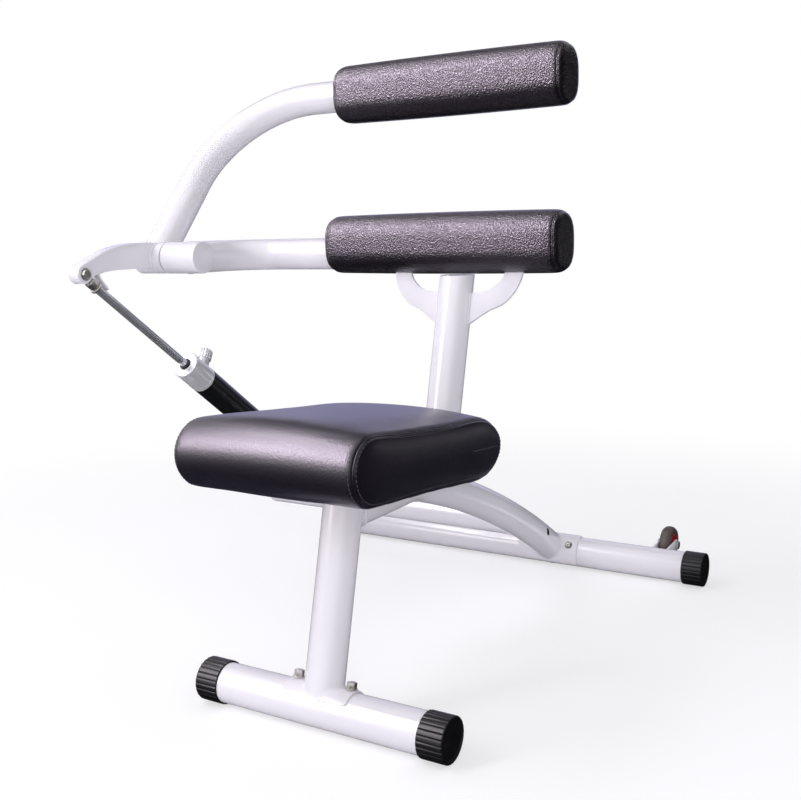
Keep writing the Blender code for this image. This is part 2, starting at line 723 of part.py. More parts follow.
def transport_wheel(side, x):
    """Rubber tyre on a plastic hub, between two ears on an axle bolt."""
    axle = Matrix.Translation((x, WHEEL_Y, WHEEL_Z))
    turning = empty(f"wheel_{side}_axis", axle, MACHINE)
    along = frame_at((x, WHEEL_Y, WHEEL_Z), X_AXIS, Y_AXIS)
    half = WHEEL_WIDTH / 2
    bore = WHEEL_HUB_RADIUS + GAP
    tread = [(WHEEL_RADIUS - WHEEL_CROWN * (share * share), -half * share)
             for share in (-1, -0.7, -0.35, 0.35, 0.7, 1)]
    tyre_profile = [(bore, half)] + tread + [(bore, -half)]
    tyre = turned_shape(f"wheel_tyre_{side}", along, tyre_profile, closed=True)
    finish(tyre, "grey_rubber", turning)
    web = WHEEL_HUB_WEB / 2
    inner = AXLE_RADIUS + RUNNING_GAP
    boss = inner + WHEEL_HUB_WALL
    rim = WHEEL_HUB_RADIUS - WHEEL_HUB_RIM
    hub_profile = [(inner, half), (boss, half), (boss, web), (rim, web), (rim, half),
                   (WHEEL_HUB_RADIUS, half), (WHEEL_HUB_RADIUS, -half), (rim, -half), (rim, -web),
                   (boss, -web), (boss, -half), (inner, -half)]
    hub = turned_shape(f"wheel_hub_{side}", along, hub_profile, closed=True)
    finish(hub, "red_plastic", turning)
    ear_x = half + WHEEL_SIDE_GAP + EAR_THICKNESS / 2
    wheel_ear(f"wheel_ear_{side}_inner", x - ear_x)
    wheel_ear(f"wheel_ear_{side}_outer", x + ear_x)
    seat = ear_x + EAR_THICKNESS / 2 + GAP
    axle_bolt = rod_shape(f"wheel_axle_{side}", along, AXLE_RADIUS, -seat - AXLE_HEAD_HEIGHT / 2,
                          seat + AXLE_HEAD_HEIGHT / 2, SMALL_ROUND)
    head = rod_shape(f"wheel_axle_{side}_head", along, AXLE_HEAD_RADIUS, seat,
                     seat + AXLE_HEAD_HEIGHT, 6)
    nut = rod_shape(f"wheel_axle_{side}_nut", along, AXLE_HEAD_RADIUS, -seat - AXLE_HEAD_HEIGHT,
                    -seat, 6)
    finish(join(axle_bolt, head, nut), "zinc_steel", MACHINE)


# Posts, arch and cross tube


def seat_post():
    top = SEAT_UNDERSIDE_Z + 0.05
    tube = hollow_tube("seat_post", [FRONT_AXIS, seat_post_point(top)], POST_RADIUS)
    saddle = bore_shape("seat_post_foot", frame_at(FRONT_AXIS, X_AXIS, Y_AXIS),
                       SADDLE_OUTER_RADIUS + GAP, -0.1, 0.1)
    plate_low = SEAT_PLATE_THICKNESS + 2 * GAP
    above = box_shape("seat_post_top", SEAT, (-0.1, -0.2, -plate_low), (0.1, 0.2, 0.2))
    return finish(cut(tube, saddle, above), "white_powder_coat", MACHINE)


def arch_beam():
    tube = hollow_tube("arch_beam", arch_path(), TUBE_RADIUS)
    post = bore_shape("arch_front_seat", frame_at(FRONT_AXIS, SEAT_POST_UP, X_AXIS),
                     POST_RADIUS + GAP, 0.15, 0.45)
    saddle = bore_shape("arch_rear_seat", frame_at(REAR_AXIS, X_AXIS, Y_AXIS),
                       SADDLE_OUTER_RADIUS + GAP, -0.1, 0.1)
    drain_z = arch_height(DRAIN_HOLE_Y)
    drain = rod_shape("arch_drain", frame_at((0, DRAIN_HOLE_Y, drain_z), Z_AXIS, X_AXIS),
                      DRAIN_HOLE_RADIUS, TUBE_RADIUS / 2, TUBE_RADIUS * 2, 12)
    return finish(cut(tube, post, saddle, drain), "white_powder_coat", MACHINE)


def cross_tube():
    axis = Vector((0, CROSS_TUBE_Y, arch_height(CROSS_TUBE_Y)))
    tube = hollow_tube("cross_tube", [axis, axis + X_AXIS * CROSS_TUBE_END_X], TUBE_RADIUS)
    finish(cut(tube, arch_solid("cross_tube_seat", GAP)), "white_powder_coat", MACHINE)
    plug = frame_at(axis + X_AXIS * (CROSS_TUBE_END_X - GAP), X_AXIS, Y_AXIS)
    spigot = TUBE_RADIUS - TUBE_WALL - 2 * GAP
    profile = [(0, CROSS_CAP_DEPTH), (spigot - 0.001, CROSS_CAP_DEPTH), (spigot, CROSS_CAP_DEPTH - 0.002),
               (spigot, 0), (TUBE_RADIUS, 0), (TUBE_RADIUS - 0.001, -CROSS_CAP_FLANGE), (0, -CROSS_CAP_FLANGE)]
    finish(turned_shape("cross_tube_cap", plug, profile), "black_plastic", MACHINE)
    return axis


def cylinder_mount(axis):
    """Two lugs on the cross tube, with the lower pin bolt and its nut."""
    lug_x = LOWER_EYE_WIDTH / 2 + LUG_SIDE_GAP + LUG_THICKNESS / 2
    eye = (LOWER_PIN.y, LOWER_PIN.z)
    pin = frame_at(LOWER_PIN, X_AXIS, Y_AXIS)
    for side, x in (("left", -lug_x), ("right", lug_x)):
        outline = tapered_lug(eye, LUG_RADIUS, (axis.y + LUG_FOOT, axis.z), (axis.y - LUG_FOOT, axis.z))
        lug = plate_shape(f"cylinder_lug_{side}", side_plane(ARM_X + x), outline, LUG_THICKNESS)
        tube = bore_shape(f"cylinder_lug_{side}_seat", frame_at(axis, X_AXIS, Y_AXIS),
                         TUBE_RADIUS + GAP, ARM_X + x - LUG_THICKNESS, ARM_X + x + LUG_THICKNESS)
        hole = bore_shape(f"cylinder_lug_{side}_hole", pin, LOWER_PIN_RADIUS + BOLT_GAP,
                         x - LUG_THICKNESS, x + LUG_THICKNESS, SMALL_ROUND)
        finish(cut(lug, tube, hole), "white_powder_coat", MACHINE)
    seat = lug_x + LUG_THICKNESS / 2 + GAP
    bolt = rod_shape("lower_pin", pin, LOWER_PIN_RADIUS, -seat - PIN_NUT_HEIGHT - PIN_TAIL,
                     seat + PIN_HEAD_HEIGHT / 2, SMALL_ROUND)
    head = rod_shape("lower_pin_head", pin, PIN_HEAD_RADIUS, seat, seat + PIN_HEAD_HEIGHT, 6)
    finish(join(bolt, head), "zinc_steel", MACHINE)
    nut = rod_shape("lower_pin_nut", pin, PIN_NUT_RADIUS, -seat - PIN_NUT_HEIGHT, -seat, 6)
    bore = bore_shape("lower_pin_nut_bore", pin, LOWER_PIN_RADIUS + BOLT_GAP, -2 * seat, 0, SMALL_ROUND)
    finish(cut(nut, bore), "zinc_steel", MACHINE)


def back_post():
    """From the arch up to just under the lower pad, where it is cut level."""
    foot = back_post_point(arch_height(BACK_POST_FOOT_Y) + COPE_START)
    tube = hollow_tube("back_post", [foot, back_post_point(LOWER_PAD_Z)], POST_RADIUS)
    top = LOWER_PAD_Z - PAD_HEIGHT / 2 - PAD_CROWN - GAP
    above = box_shape("back_post_top", Matrix(), (-0.1, 0, top), (0.1, BACK_POST_Y * 2, LOWER_PAD_Z * 2))
    return finish(cut(tube, arch_solid("back_post_foot", GAP), above), "white_powder_coat", MACHINE)


# Seat


def seat_side_outline(grow):
    """The cushion's side: bull-nosed front and a longer roll at the back, raised by grow on top."""
    height = SEAT_SIDE_HEIGHT
    low_half = height * 0.5
    points = []
    steps = 6
    front = -SEAT_FRONT_REACH
    back = SEAT_REAR_REACH
    for i in range(steps + 1):
        turn = pi / 2 * i / steps
        points.append((back - SEAT_REAR_ROUND_TOP * (1 - cos(turn)), low_half + (low_half + grow) * sin(turn)))
    flat = back - SEAT_REAR_ROUND_TOP
    nose = front + SEAT_FRONT_ROUND
    for i in (1, 2, 3):
        share = i / 4
        points.append((flat + (nose - flat) * share, height + grow))
    for i in range(steps + 1):
        turn = pi / 2 * i / steps
        points.append((nose - SEAT_FRONT_ROUND * sin(turn), low_half + (low_half + grow) * cos(turn)))
    for i in range(1, steps + 1):
        turn = pi / 2 * i / steps
        points.append((nose - SEAT_FRONT_ROUND * cos(turn), low_half * (1 - sin(turn))))
    tail = back - SEAT_REAR_ROUND_LOW
    for i in (1, 2):
        points.append((nose + (tail - nose) * i / 3, 0))
    for i in range(steps):
        turn = pi / 2 * i / steps
        points.append((tail + SEAT_REAR_ROUND_LOW * sin(turn), low_half * (1 - cos(turn))))
    return points


def seat_sections():
    """Side outlines across the width: a full side panel, then a crown that swells to the middle."""
    half = SEAT_WIDTH / 2
    middle = Vector((0, SEAT_SIDE_HEIGHT / 2))
    stations = [(half - inward, inset) for inward, inset in SEAT_SIDE_STATIONS]
    stations += [(half * share, 0) for share in (0.80, 0.55, 0.25)]
    stations += [(-x, inset) for x, inset in reversed(stations)]
    sections = []
    for x, inset in stations:
        grow = SEAT_CROWN * (1 - (abs(x) / half) ** 2)
        section = []
        for y, z in seat_side_outline(grow):
            away = Vector((y, z)) - middle
            shrink = 1 - inset / max(away.length, inset)
            section.append((x, middle.x + away.x * shrink, middle.y + away.y * shrink))
        sections.append(section)
    return sections


def seat():
    board_low = -GAP
    board_outline = rounded_rectangle(SEAT_BOARD_WIDTH, SEAT_BOARD_LENGTH, PLATE_CORNER * 2)
    pocket_outline = rounded_rectangle(SEAT_BOARD_WIDTH + 2 * GAP, SEAT_BOARD_LENGTH + 2 * GAP,
                                       PLATE_CORNER * 2 + GAP)
    cushion = loft_shape("seat_cushion", SEAT, seat_sections())
    pocket = plate_shape("seat_pocket", SEAT, pocket_outline, 2 * (SEAT_BOARD_THICKNESS + GAP))
    finish(cut(cushion, pocket), "black_vinyl", MACHINE)
    board = plate_shape("seat_board", SEAT @ Matrix.Translation((0, 0, SEAT_BOARD_THICKNESS / 2)),
                        board_outline, SEAT_BOARD_THICKNESS)
    finish(board, "plywood", MACHINE, smooth=False)
    post_top = SEAT.inverted() @ seat_post_point(SEAT_UNDERSIDE_Z)
    plate_middle = Matrix.Translation((0, post_top.y, board_low - SEAT_PLATE_THICKNESS / 2))
    plate_outline = rounded_rectangle(SEAT_PLATE_WIDTH, SEAT_PLATE_LENGTH, PLATE_CORNER)
    plate = plate_shape("seat_plate", SEAT @ plate_middle, plate_outline, SEAT_PLATE_THICKNESS)
    finish(plate, "white_powder_coat", MACHINE, smooth=False)


# Pads and their tubes

LOWER_TUBE_Z = PIVOT_Z
LOWER_TUBE_AXIS = Vector((0, LOWER_TUBE_Y, LOWER_TUBE_Z))
BOSS_MIDDLE_X = (BOSS_RIGHT_X + BOSS_LEFT_X) / 2
UPPER_ARM_UP = Vector((0, UPPER_PAD_Y - PIVOT_Y, UPPER_PAD_Z - PIVOT_Z)).normalized()


def pad_sections(length):
    """Rounded rectangles along a pad: drawn in at both ends, with a slight crown in the middle."""
    half = length / 2
    stations = []
    for turn in (0, 22, 45, 68, 90):
        lean = radians(turn)
        stations.append((half - PAD_END_ROUND * (1 - sin(lean)), PAD_END_ROUND * (1 - cos(lean)) * 0.55))
    stations = [(x, inset) for x, inset in reversed(stations)] + [(half * 0.5, 0)]
    stations += [(-x, inset) for x, inset in reversed(stations)]
    sections = []
    for x, inset in stations:
        crown = PAD_CROWN * (1 - (x / half) ** 2) - inset
        outline = rounded_rectangle(PAD_DEPTH + 2 * crown, PAD_HEIGHT + 2 * crown, PAD_CORNER + crown, 6)
        sections.append([(y, z, x) for y, z in outline])
    return sections


def pad(name, left_x, right_x, y, z):
    middle = (left_x + right_x) / 2
    return loft_shape(name, frame_at((middle, y, z), X_AXIS, Y_AXIS), pad_sections(right_x - left_x))


def pad_bore(name, y, z, left_x, right_x):
    return bore_shape(name, frame_at((0, y, z), X_AXIS, Y_AXIS), TUBE_RADIUS + GAP,
                      left_x - 0.05, right_x - PAD_TUBE_STOP + GAP, TUBE_ROUND)


def lower_pad_tube():
    """From inside the pad to the left, then forward to the fixed boss."""
    bend_x = BOSS_MIDDLE_X + LOWER_TUBE_BEND
    bend_y = LOWER_TUBE_Y - LOWER_TUBE_BEND
    path = [(LOWER_PAD_RIGHT_X - PAD_TUBE_STOP, LOWER_TUBE_Y)]
    path += arc((bend_x, bend_y), LOWER_TUBE_BEND, pi / 2, pi, 7)
    path += [(BOSS_MIDDLE_X, PIVOT_Y + COPE_START)]
    tube = hollow_tube("lower_pad_tube", [Vector((x, y, LOWER_TUBE_Z)) for x, y in path], TUBE_RADIUS)
    boss = bore_shape("lower_tube_seat", frame_at(PIVOT, X_AXIS, Y_AXIS), PIVOT_RADIUS + GAP, -0.02, 0.2)
    return finish(cut(tube, boss), "white_powder_coat", MACHINE)


def yoke_outline(side):
    """Half of the yoke, from the post out and up to the pad tube, in local x and height."""
    rise = LOWER_TUBE_Z - BACK_POST_Z
    lower = [(YOKE_ROOT, YOKE_ROOT_LOW)] + YOKE_LOWER + [(YOKE_OUTER_X, YOKE_STRAIGHT), (YOKE_OUTER_X, rise)]
    upper = [(YOKE_INNER_X, rise), (YOKE_INNER_X, YOKE_STRAIGHT)] + YOKE_UPPER + [(YOKE_ROOT, YOKE_ROOT_HIGH)]
    points = [(side * x, height) for x, height in lower + upper]
    return points if side > 0 else points[::-1]


def yoke_plates():
    """Two curved straps, one at each side of the back post, up to the lower pad's tube."""
    plane = frame_at((0, BACK_POST_Y, BACK_POST_Z), X_AXIS.cross(BACK_POST_UP), X_AXIS)
    for name, side in (("pad_yoke_left", -1), ("pad_yoke_right", 1)):
        strap = plate_shape(name, plane, yoke_outline(side), YOKE_THICKNESS)
        post = bore_shape(name + "_post", frame_at((0, BACK_POST_Y, BACK_POST_Z), BACK_POST_UP, X_AXIS),
                         POST_RADIUS + GAP, -0.2, 0.2)
        tube = bore_shape(name + "_tube", frame_at(LOWER_TUBE_AXIS, X_AXIS, Y_AXIS),
                         TUBE_RADIUS + GAP, -0.2, 0.2)
        finish(cut(strap, post, tube), "white_powder_coat", MACHINE)


def lower_pad():
    """The cushion round the lower tube, slotted for the yoke's tips."""
    cushion = pad("lower_pad", LOWER_PAD_LEFT_X, LOWER_PAD_RIGHT_X, LOWER_PAD_Y, LOWER_PAD_Z)
    bore = pad_bore("lower_pad_bore", LOWER_TUBE_Y, LOWER_TUBE_Z, LOWER_PAD_LEFT_X, LOWER_PAD_RIGHT_X)
    plane = frame_at((0, BACK_POST_Y, BACK_POST_Z), X_AXIS.cross(BACK_POST_UP), X_AXIS)
    slot_half = YOKE_THICKNESS / 2 + YOKE_SLOT_GAP
    slots = []
    for name, side in (("lower_pad_slot_left", -1), ("lower_pad_slot_right", 1)):
        ends = sorted((side * (YOKE_INNER_X - YOKE_SLOT_GAP), side * (YOKE_OUTER_X + YOKE_SLOT_GAP)))
        slots.append(box_shape(name, plane, (ends[0], 0, -slot_half),
                               (ends[1], LOWER_TUBE_Z - BACK_POST_Z, slot_half)))
    finish(cut(cushion, bore, *slots), "black_vinyl", MACHINE)


def upper_arm():
    """From the hub up and back, then round a wide bend to the right into the upper pad."""
    rise = hypot(UPPER_PAD_Y - PIVOT_Y, UPPER_PAD_Z - PIVOT_Z)
    straight = rise - UPPER_ARM_BEND
    path = [(0, COPE_START)]
    path += arc((UPPER_ARM_BEND, straight), UPPER_ARM_BEND, pi, pi / 2, 11)
    path += [(UPPER_PAD_RIGHT_X - PAD_TUBE_STOP - ARM_X, rise)]
    points = [PIVOT + X_AXIS * x + UPPER_ARM_UP * height for x, height in path]
    tube = hollow_tube("upper_arm_tube", points, TUBE_RADIUS)
    hub = bore_shape("upper_arm_seat", frame_at(PIVOT, X_AXIS, Y_AXIS), PIVOT_RADIUS + GAP, -0.1, 0.1)
    finish(cut(tube, hub), "white_powder_coat", ARM)
    cushion = pad("upper_pad", UPPER_PAD_LEFT_X, UPPER_PAD_RIGHT_X, UPPER_PAD_Y, UPPER_PAD_Z)
    bore = pad_bore("upper_pad_bore", UPPER_PAD_Y, UPPER_PAD_Z, UPPER_PAD_LEFT_X, UPPER_PAD_RIGHT_X)
    finish(cut(cushion, bore), "black_vinyl", ARM)


# Pivot


def pivot():
    """Fixed boss and shaft, and the turning hub on two flanged bushes."""
    axis = frame_at((0, PIVOT_Y, PIVOT_Z), X_AXIS, Y_AXIS)
    shaft_seat = SHAFT_RADIUS + GAP
    disc_x = BOSS_RIGHT_X - BOSS_DISC_THICKNESS
    boss = ring_shape("pivot_boss", axis, shaft_seat, PIVOT_RADIUS, BOSS_LEFT_X, disc_x - GAP)
    finish(boss, "white_powder_coat", MACHINE)
    disc = turned_shape("boss_end_disc", axis, [
        (0, BOSS_RIGHT_X), (PIVOT_RADIUS - EDGE_CHAMFER, BOSS_RIGHT_X),
        (PIVOT_RADIUS, BOSS_RIGHT_X - EDGE_CHAMFER), (PIVOT_RADIUS, disc_x), (0, disc_x)])
    finish(disc, "white_powder_coat", MACHINE)
    hub_right = BOSS_LEFT_X - 2 * GAP - BUSH_FLANGE_THICKNESS
    bush_outer = SHAFT_RADIUS + RUNNING_GAP + BUSH_WALL
    hub_inner = bush_outer + GAP
    cap_x = HUB_LEFT_X + HUB_CAP_THICKNESS
    cap_seat = PIVOT_RADIUS - HUB_CAP_INSET
    hub = turned_shape("pivot_hub", axis, [
        (PIVOT_RADIUS, hub_right), (PIVOT_RADIUS, HUB_LEFT_X), (cap_seat, HUB_LEFT_X),
        (cap_seat, cap_x + GAP), (hub_inner, cap_x + GAP), (hub_inner, hub_right)], closed=True)
    finish(hub, "white_powder_coat", ARM)
    bush_inner = SHAFT_RADIUS + RUNNING_GAP
    bush = turned_shape("hub_bush_right", axis, [
        (BUSH_FLANGE_RADIUS, hub_right + GAP + BUSH_FLANGE_THICKNESS), (BUSH_FLANGE_RADIUS, hub_right + GAP),
        (bush_outer, hub_right + GAP), (bush_outer, hub_right - BUSH_LENGTH),
        (bush_inner, hub_right - BUSH_LENGTH), (bush_inner, hub_right + GAP + BUSH_FLANGE_THICKNESS)],
        closed=True)
    finish(bush, "bronze", ARM)
    washer_right = cap_x + GAP + SHAFT_WASHER_THICKNESS + 2 * GAP
    left_bush_end = washer_right + 2 * GAP
    bush = ring_shape("hub_bush_left", axis, bush_inner, bush_outer, left_bush_end, left_bush_end + BUSH_LENGTH)
    finish(bush, "bronze", ARM)
    washer = bush_outer - 2 * GAP
    shaft = turned_shape("pivot_shaft", axis, [
        (0, disc_x - GAP), (SHAFT_RADIUS - EDGE_CHAMFER, disc_x - GAP), (SHAFT_RADIUS, disc_x - GAP - EDGE_CHAMFER),
        (SHAFT_RADIUS, washer_right), (washer, washer_right),
        (washer, washer_right - SHAFT_WASHER_THICKNESS), (0, washer_right - SHAFT_WASHER_THICKNESS)])
    finish(shaft, "steel", MACHINE)
    cap = turned_shape("hub_end_cap", axis, [
        (0, cap_x), (cap_seat - GAP, cap_x), (cap_seat - GAP, HUB_LEFT_X + EDGE_CHAMFER),
        (cap_seat - GAP - EDGE_CHAMFER, HUB_LEFT_X), (0, HUB_LEFT_X)])
    finish(cap, "white_powder_coat", ARM)


# Lever


def lever_outline():
    """Side outline: round nose about the pin, an arched top, and a flatter lower edge."""
    low_z = LEVER_PIN_Z + 0.004
    points = arc((LEVER_PIN_Y, LEVER_PIN_Z), LEVER_NOSE_RADIUS, radians(288), radians(122), 9)
    points += LEVER_TOP + [(LEVER_HEEL_Y, LEVER_TOP_Z), (LEVER_HEEL_Y, low_z), (0.165, low_z),
                           (0.140, low_z - 0.003), (0.114, low_z - 0.0095)]
    return points[::-1]


def lever_cavity_outline():
    """The space in the channel: open below, and below the nose as far as the rod end swings."""
    pin = Vector((LEVER_PIN_Y, LEVER_PIN_Z))
    mouth = radians(250)
    below = LEVER_PIN_Z - 0.040
    points = [pin + Vector((cos(mouth), sin(mouth))) * (LEVER_NOSE_RADIUS + 0.02)]
    points += arc(pin, LEVER_NOSE_RADIUS - LEVER_PLATE, mouth, radians(122), 7)
    points += [(y, z - LEVER_PLATE) for y, z in LEVER_TOP]
    points += [(LEVER_HEEL_Y + 0.01, LEVER_TOP_Z - LEVER_PLATE), (LEVER_HEEL_Y + 0.01, below)]
    return points[::-1]


def lever():
    """Inverted channel from the hub to the rod end, with a stop tab that meets the rod."""
    plane = side_plane(ARM_X)
    channel = plate_shape("lever_channel", plane, lever_outline(), LEVER_WIDTH)
    cavity = LEVER_WIDTH - 2 * LEVER_PLATE
    inside = plate_shape("lever_cavity", plane, lever_cavity_outline(), cavity)
    hub = bore_shape("lever_hub_seat", frame_at(PIVOT, X_AXIS, Y_AXIS), PIVOT_RADIUS + GAP, -0.1, 0.1)
    pin = frame_at(LEVER_PIN, X_AXIS, Y_AXIS)
    hole = bore_shape("lever_pin_hole", pin, LEVER_PIN_RADIUS + BOLT_GAP, -0.05, 0.05, SMALL_ROUND)
    tab = plate_shape("stop_tab", plane, stop_tab_outline(), cavity + 0.001)
    cut(channel, inside)
    join(channel, tab)
    arm = bore_shape("lever_arm_seat", frame_at(PIVOT, UPPER_ARM_UP, X_AXIS), TUBE_RADIUS + GAP, 0, 0.1)
    finish(cut(channel, hub, arm, hole), "white_powder_coat", ARM)
    seat = LEVER_WIDTH / 2 + GAP
    head_top = seat + LEVER_BOLT_HEAD_HEIGHT
    bolt = rod_shape("lever_pin", pin, LEVER_PIN_RADIUS, -seat - LEVER_NUT_HEIGHT - PIN_TAIL,
                     seat + LEVER_BOLT_HEAD_HEIGHT / 2, SMALL_ROUND)
    head = rod_shape("lever_pin_head", pin, LEVER_BOLT_HEAD_RADIUS, seat, head_top, SMALL_ROUND)
    socket = rod_shape("lever_pin_socket", pin, LEVER_SOCKET_RADIUS, head_top - LEVER_SOCKET_DEPTH,
                       head_top + LEVER_BOLT_HEAD_HEIGHT, 6)
    finish(cut(join(bolt, head), socket), "zinc_steel", ARM)
    nut = rod_shape("lever_pin_nut", pin, LEVER_BOLT_HEAD_RADIUS, -seat - LEVER_NUT_HEIGHT, -seat, 6)
    bore = bore_shape("lever_pin_nut_bore", pin, LEVER_PIN_RADIUS + BOLT_GAP, -0.05, 0, SMALL_ROUND)
    finish(cut(nut, bore), "zinc_steel", ARM)


def stop_tab_outline():
    """Bent strip from inside the channel's top web down to just clear of the piston rod."""
    tip = LEVER_PIN + CYLINDER_DOWN * STOP_TAB_REACH + CYLINDER_OUT * (ROD_RADIUS + GAP)
    back = tip + CYLINDER_OUT * STOP_TAB_THICKNESS
    return STOP_TAB_OUTER + [(tip.y, tip.z), (back.y, back.z)] + STOP_TAB_INNER


# Hydraulic cylinder


def rod():
    """Rod end with its eye on the lever pin, chrome rod and piston."""
    eye_axis = frame_at(LEVER_PIN, X_AXIS, Y_AXIS)
    end = rod_shape("rod_end", eye_axis, ROD_EYE_RADIUS, -ROD_EYE_WIDTH / 2, ROD_EYE_WIDTH / 2)
    neck = rod_shape("rod_end_neck", CYLINDER, ROD_EYE_WIDTH / 2 - GAP, 0, ROD_COLLAR_END)
    shank = rod_shape("rod_end_shank", CYLINDER, ROD_SHANK_RADIUS, ROD_SHANK_START, ROD_COLLAR_START + 0.001)
    collar = rod_shape("rod_end_collar", CYLINDER, ROD_COLLAR_RADIUS, ROD_COLLAR_START, ROD_COLLAR_END)
    bore = bore_shape("rod_end_bore", eye_axis, LEVER_PIN_RADIUS + RUNNING_GAP, -0.05, 0.05, SMALL_ROUND)
    finish(cut(join(end, neck, shank, collar), bore), "zinc_steel", ROD)
    piston_end = PISTON_START + PISTON_LENGTH
    bar = turned_shape("piston_rod", CYLINDER, [
        (0, piston_end), (ROD_RADIUS, piston_end), (ROD_RADIUS, ROD_COLLAR_END + GAP),
        (0, ROD_COLLAR_END + GAP)])
    finish(bar, "chrome", ROD)
    piston_radius = BARREL_RADIUS - BARREL_WALL - PISTON_RADIUS_GAP
    piston = ring_shape("piston", CYLINDER, ROD_RADIUS + GAP, piston_radius, PISTON_START, piston_end)
    finish(piston, "steel", ROD)


def barrel():
    """Aluminium head, painted barrel, and the end cap with the lower eye."""
    head_end = HEAD_START + HEAD_LENGTH
    chamfer = BARREL_RADIUS - HEAD_CHAMFER
    spigot = BARREL_RADIUS - BARREL_WALL - GAP
    bore = ROD_RADIUS + SLIDING_GAP
    seal_seat = SEAL_RADIUS + GAP
    head = turned_shape("cylinder_head", CYLINDER, [
        (spigot, head_end + HEAD_SPIGOT), (spigot, head_end), (BARREL_RADIUS, head_end),
        (BARREL_RADIUS, HEAD_START + HEAD_CHAMFER), (chamfer, HEAD_START), (seal_seat, HEAD_START),
        (seal_seat, HEAD_START + SEAL_IN + GAP), (bore, HEAD_START + SEAL_IN + GAP),
        (bore, head_end + HEAD_SPIGOT)], closed=True)
    seat = frame_at(KNOB_BASE, KNOB_OUT, CYLINDER_DOWN)
    raised = rod_shape("knob_seat", seat, KNOB_SEAT_RADIUS, BARREL_RADIUS - 0.004,
                       BARREL_RADIUS + KNOB_SEAT_HEIGHT)
    stem = bore_shape("knob_stem_hole", seat, KNOB_STEM_RADIUS + RUNNING_GAP,
                     BARREL_RADIUS - KNOB_STEM_DEPTH - 2 * GAP, BARREL_RADIUS * 2, SMALL_ROUND)
    finish(cut(join(head, raised), stem), "machined_aluminium", BARREL)
    seal = turned_shape("rod_seal", CYLINDER, [
        (SEAL_RADIUS, HEAD_START + SEAL_IN), (SEAL_RADIUS, HEAD_START - SEAL_OUT * 0.4),
        (SEAL_RADIUS - 0.0015, HEAD_START - SEAL_OUT), (bore, HEAD_START - SEAL_OUT),
        (bore, HEAD_START + SEAL_IN)], closed=True)
    finish(seal, "seal_rubber", BARREL)
    tube = ring_shape("cylinder_barrel", CYLINDER, BARREL_RADIUS - BARREL_WALL, BARREL_RADIUS,
                      head_end + GAP, BARREL_END)
    finish(tube, "black_paint", BARREL)
    eye_axis = frame_at(LOWER_PIN, X_AXIS, Y_AXIS)
    eye_bore = LOWER_PIN_RADIUS + OPEN_PIVOT_SLACK
    eye_radius = eye_bore + LOWER_EYE_WALL
    cap_start = BARREL_END + GAP
    cap = turned_shape("cylinder_end_eye", CYLINDER, [
        (0, cap_start + END_CAP_LENGTH), (BARREL_RADIUS - 0.003, cap_start + END_CAP_LENGTH),
        (BARREL_RADIUS, cap_start + END_CAP_LENGTH - 0.003), (BARREL_RADIUS, cap_start),
        (spigot, cap_start), (spigot, cap_start - HEAD_SPIGOT), (0, cap_start - HEAD_SPIGOT)])
    eye = rod_shape("lower_eye", eye_axis, eye_radius, -LOWER_EYE_WIDTH / 2, LOWER_EYE_WIDTH / 2)
    neck_half = LOWER_EYE_WIDTH / 2 - GAP
    neck = box_shape("lower_eye_neck", CYLINDER, (-neck_half, -LOWER_EYE_NECK, cap_start + END_CAP_LENGTH / 2),
                     (neck_half, LOWER_EYE_NECK, CYLINDER_PIN_REACH - LOWER_PIN_RADIUS))
    hole = bore_shape("lower_eye_bore", eye_axis, eye_bore, -0.05, 0.05)
    finish(cut(join(cap, eye, neck), hole), "black_paint", BARREL)


def valve_knob():
    """Fluted knob on a stem, turned by hand to set the flow."""
    points = []
    pitch = 2 * pi / KNOB_FLUTES
    for i in range(KNOB_FLUTES):
        middle = i * pitch
        points += arc((0, 0), KNOB_RADIUS, middle - pitch * 0.30, middle + pitch * 0.30, 2)
        points += arc((0, 0), KNOB_RADIUS - KNOB_FLUTE_DEPTH, middle + pitch * 0.5, middle + pitch * 0.5, 1)[:1]
    seat = frame_at(KNOB_BASE, KNOB_OUT, CYLINDER_DOWN)
    low = BARREL_RADIUS + KNOB_SEAT_HEIGHT + GAP
    grip_low = low + KNOB_COLLAR_HEIGHT
    middle = seat @ Matrix.Translation((0, 0, grip_low + (KNOB_HEIGHT - KNOB_COLLAR_HEIGHT) / 2))
    grip = plate_shape("valve_knob", middle, points, KNOB_HEIGHT - KNOB_COLLAR_HEIGHT)
    collar = rod_shape("valve_knob_collar", seat, KNOB_COLLAR_RADIUS, low, grip_low + 0.001)
    stem = rod_shape("valve_knob_stem", seat, KNOB_STEM_RADIUS, BARREL_RADIUS - KNOB_STEM_DEPTH, grip_low,
                     SMALL_ROUND)
    finish(join(grip, collar, stem), "machined_aluminium", KNOB)


def stand_on_origin():
    """Moves the machine so that the middle of its box's underside is the origin."""
    graph = bpy.context.evaluated_depsgraph_get()
    lows = []
    highs = []
    for obj in PARTS.objects:
        if obj.type != "MESH":
            continue
        evaluated = obj.evaluated_get(graph)
        corners = [evaluated.matrix_world @ vertex.co for vertex in evaluated.data.vertices]
        lows.append([min(corner[axis] for corner in corners) for axis in range(3)])
        highs.append([max(corner[axis] for corner in corners) for axis in range(3)])
    low = [min(values) for values in zip(*lows)]
    high = [max(values) for values in zip(*highs)]
    MACHINE.location = (-(low[0] + high[0]) / 2, -(low[1] + high[1]) / 2, -low[2])


front_foot()
rear_stabiliser()
transport_wheel("right", WHEEL_RIGHT_X)
transport_wheel("left", 2 * REAR_MIDDLE_X - WHEEL_RIGHT_X)
seat_post()
seat()
arch_beam()
cylinder_mount(cross_tube())
back_post()
yoke_plates()
lower_pad_tube()
lower_pad()
pivot()
upper_arm()
lever()
rod()
barrel()
valve_knob()
bpy.context.view_layer.update()
stand_on_origin()
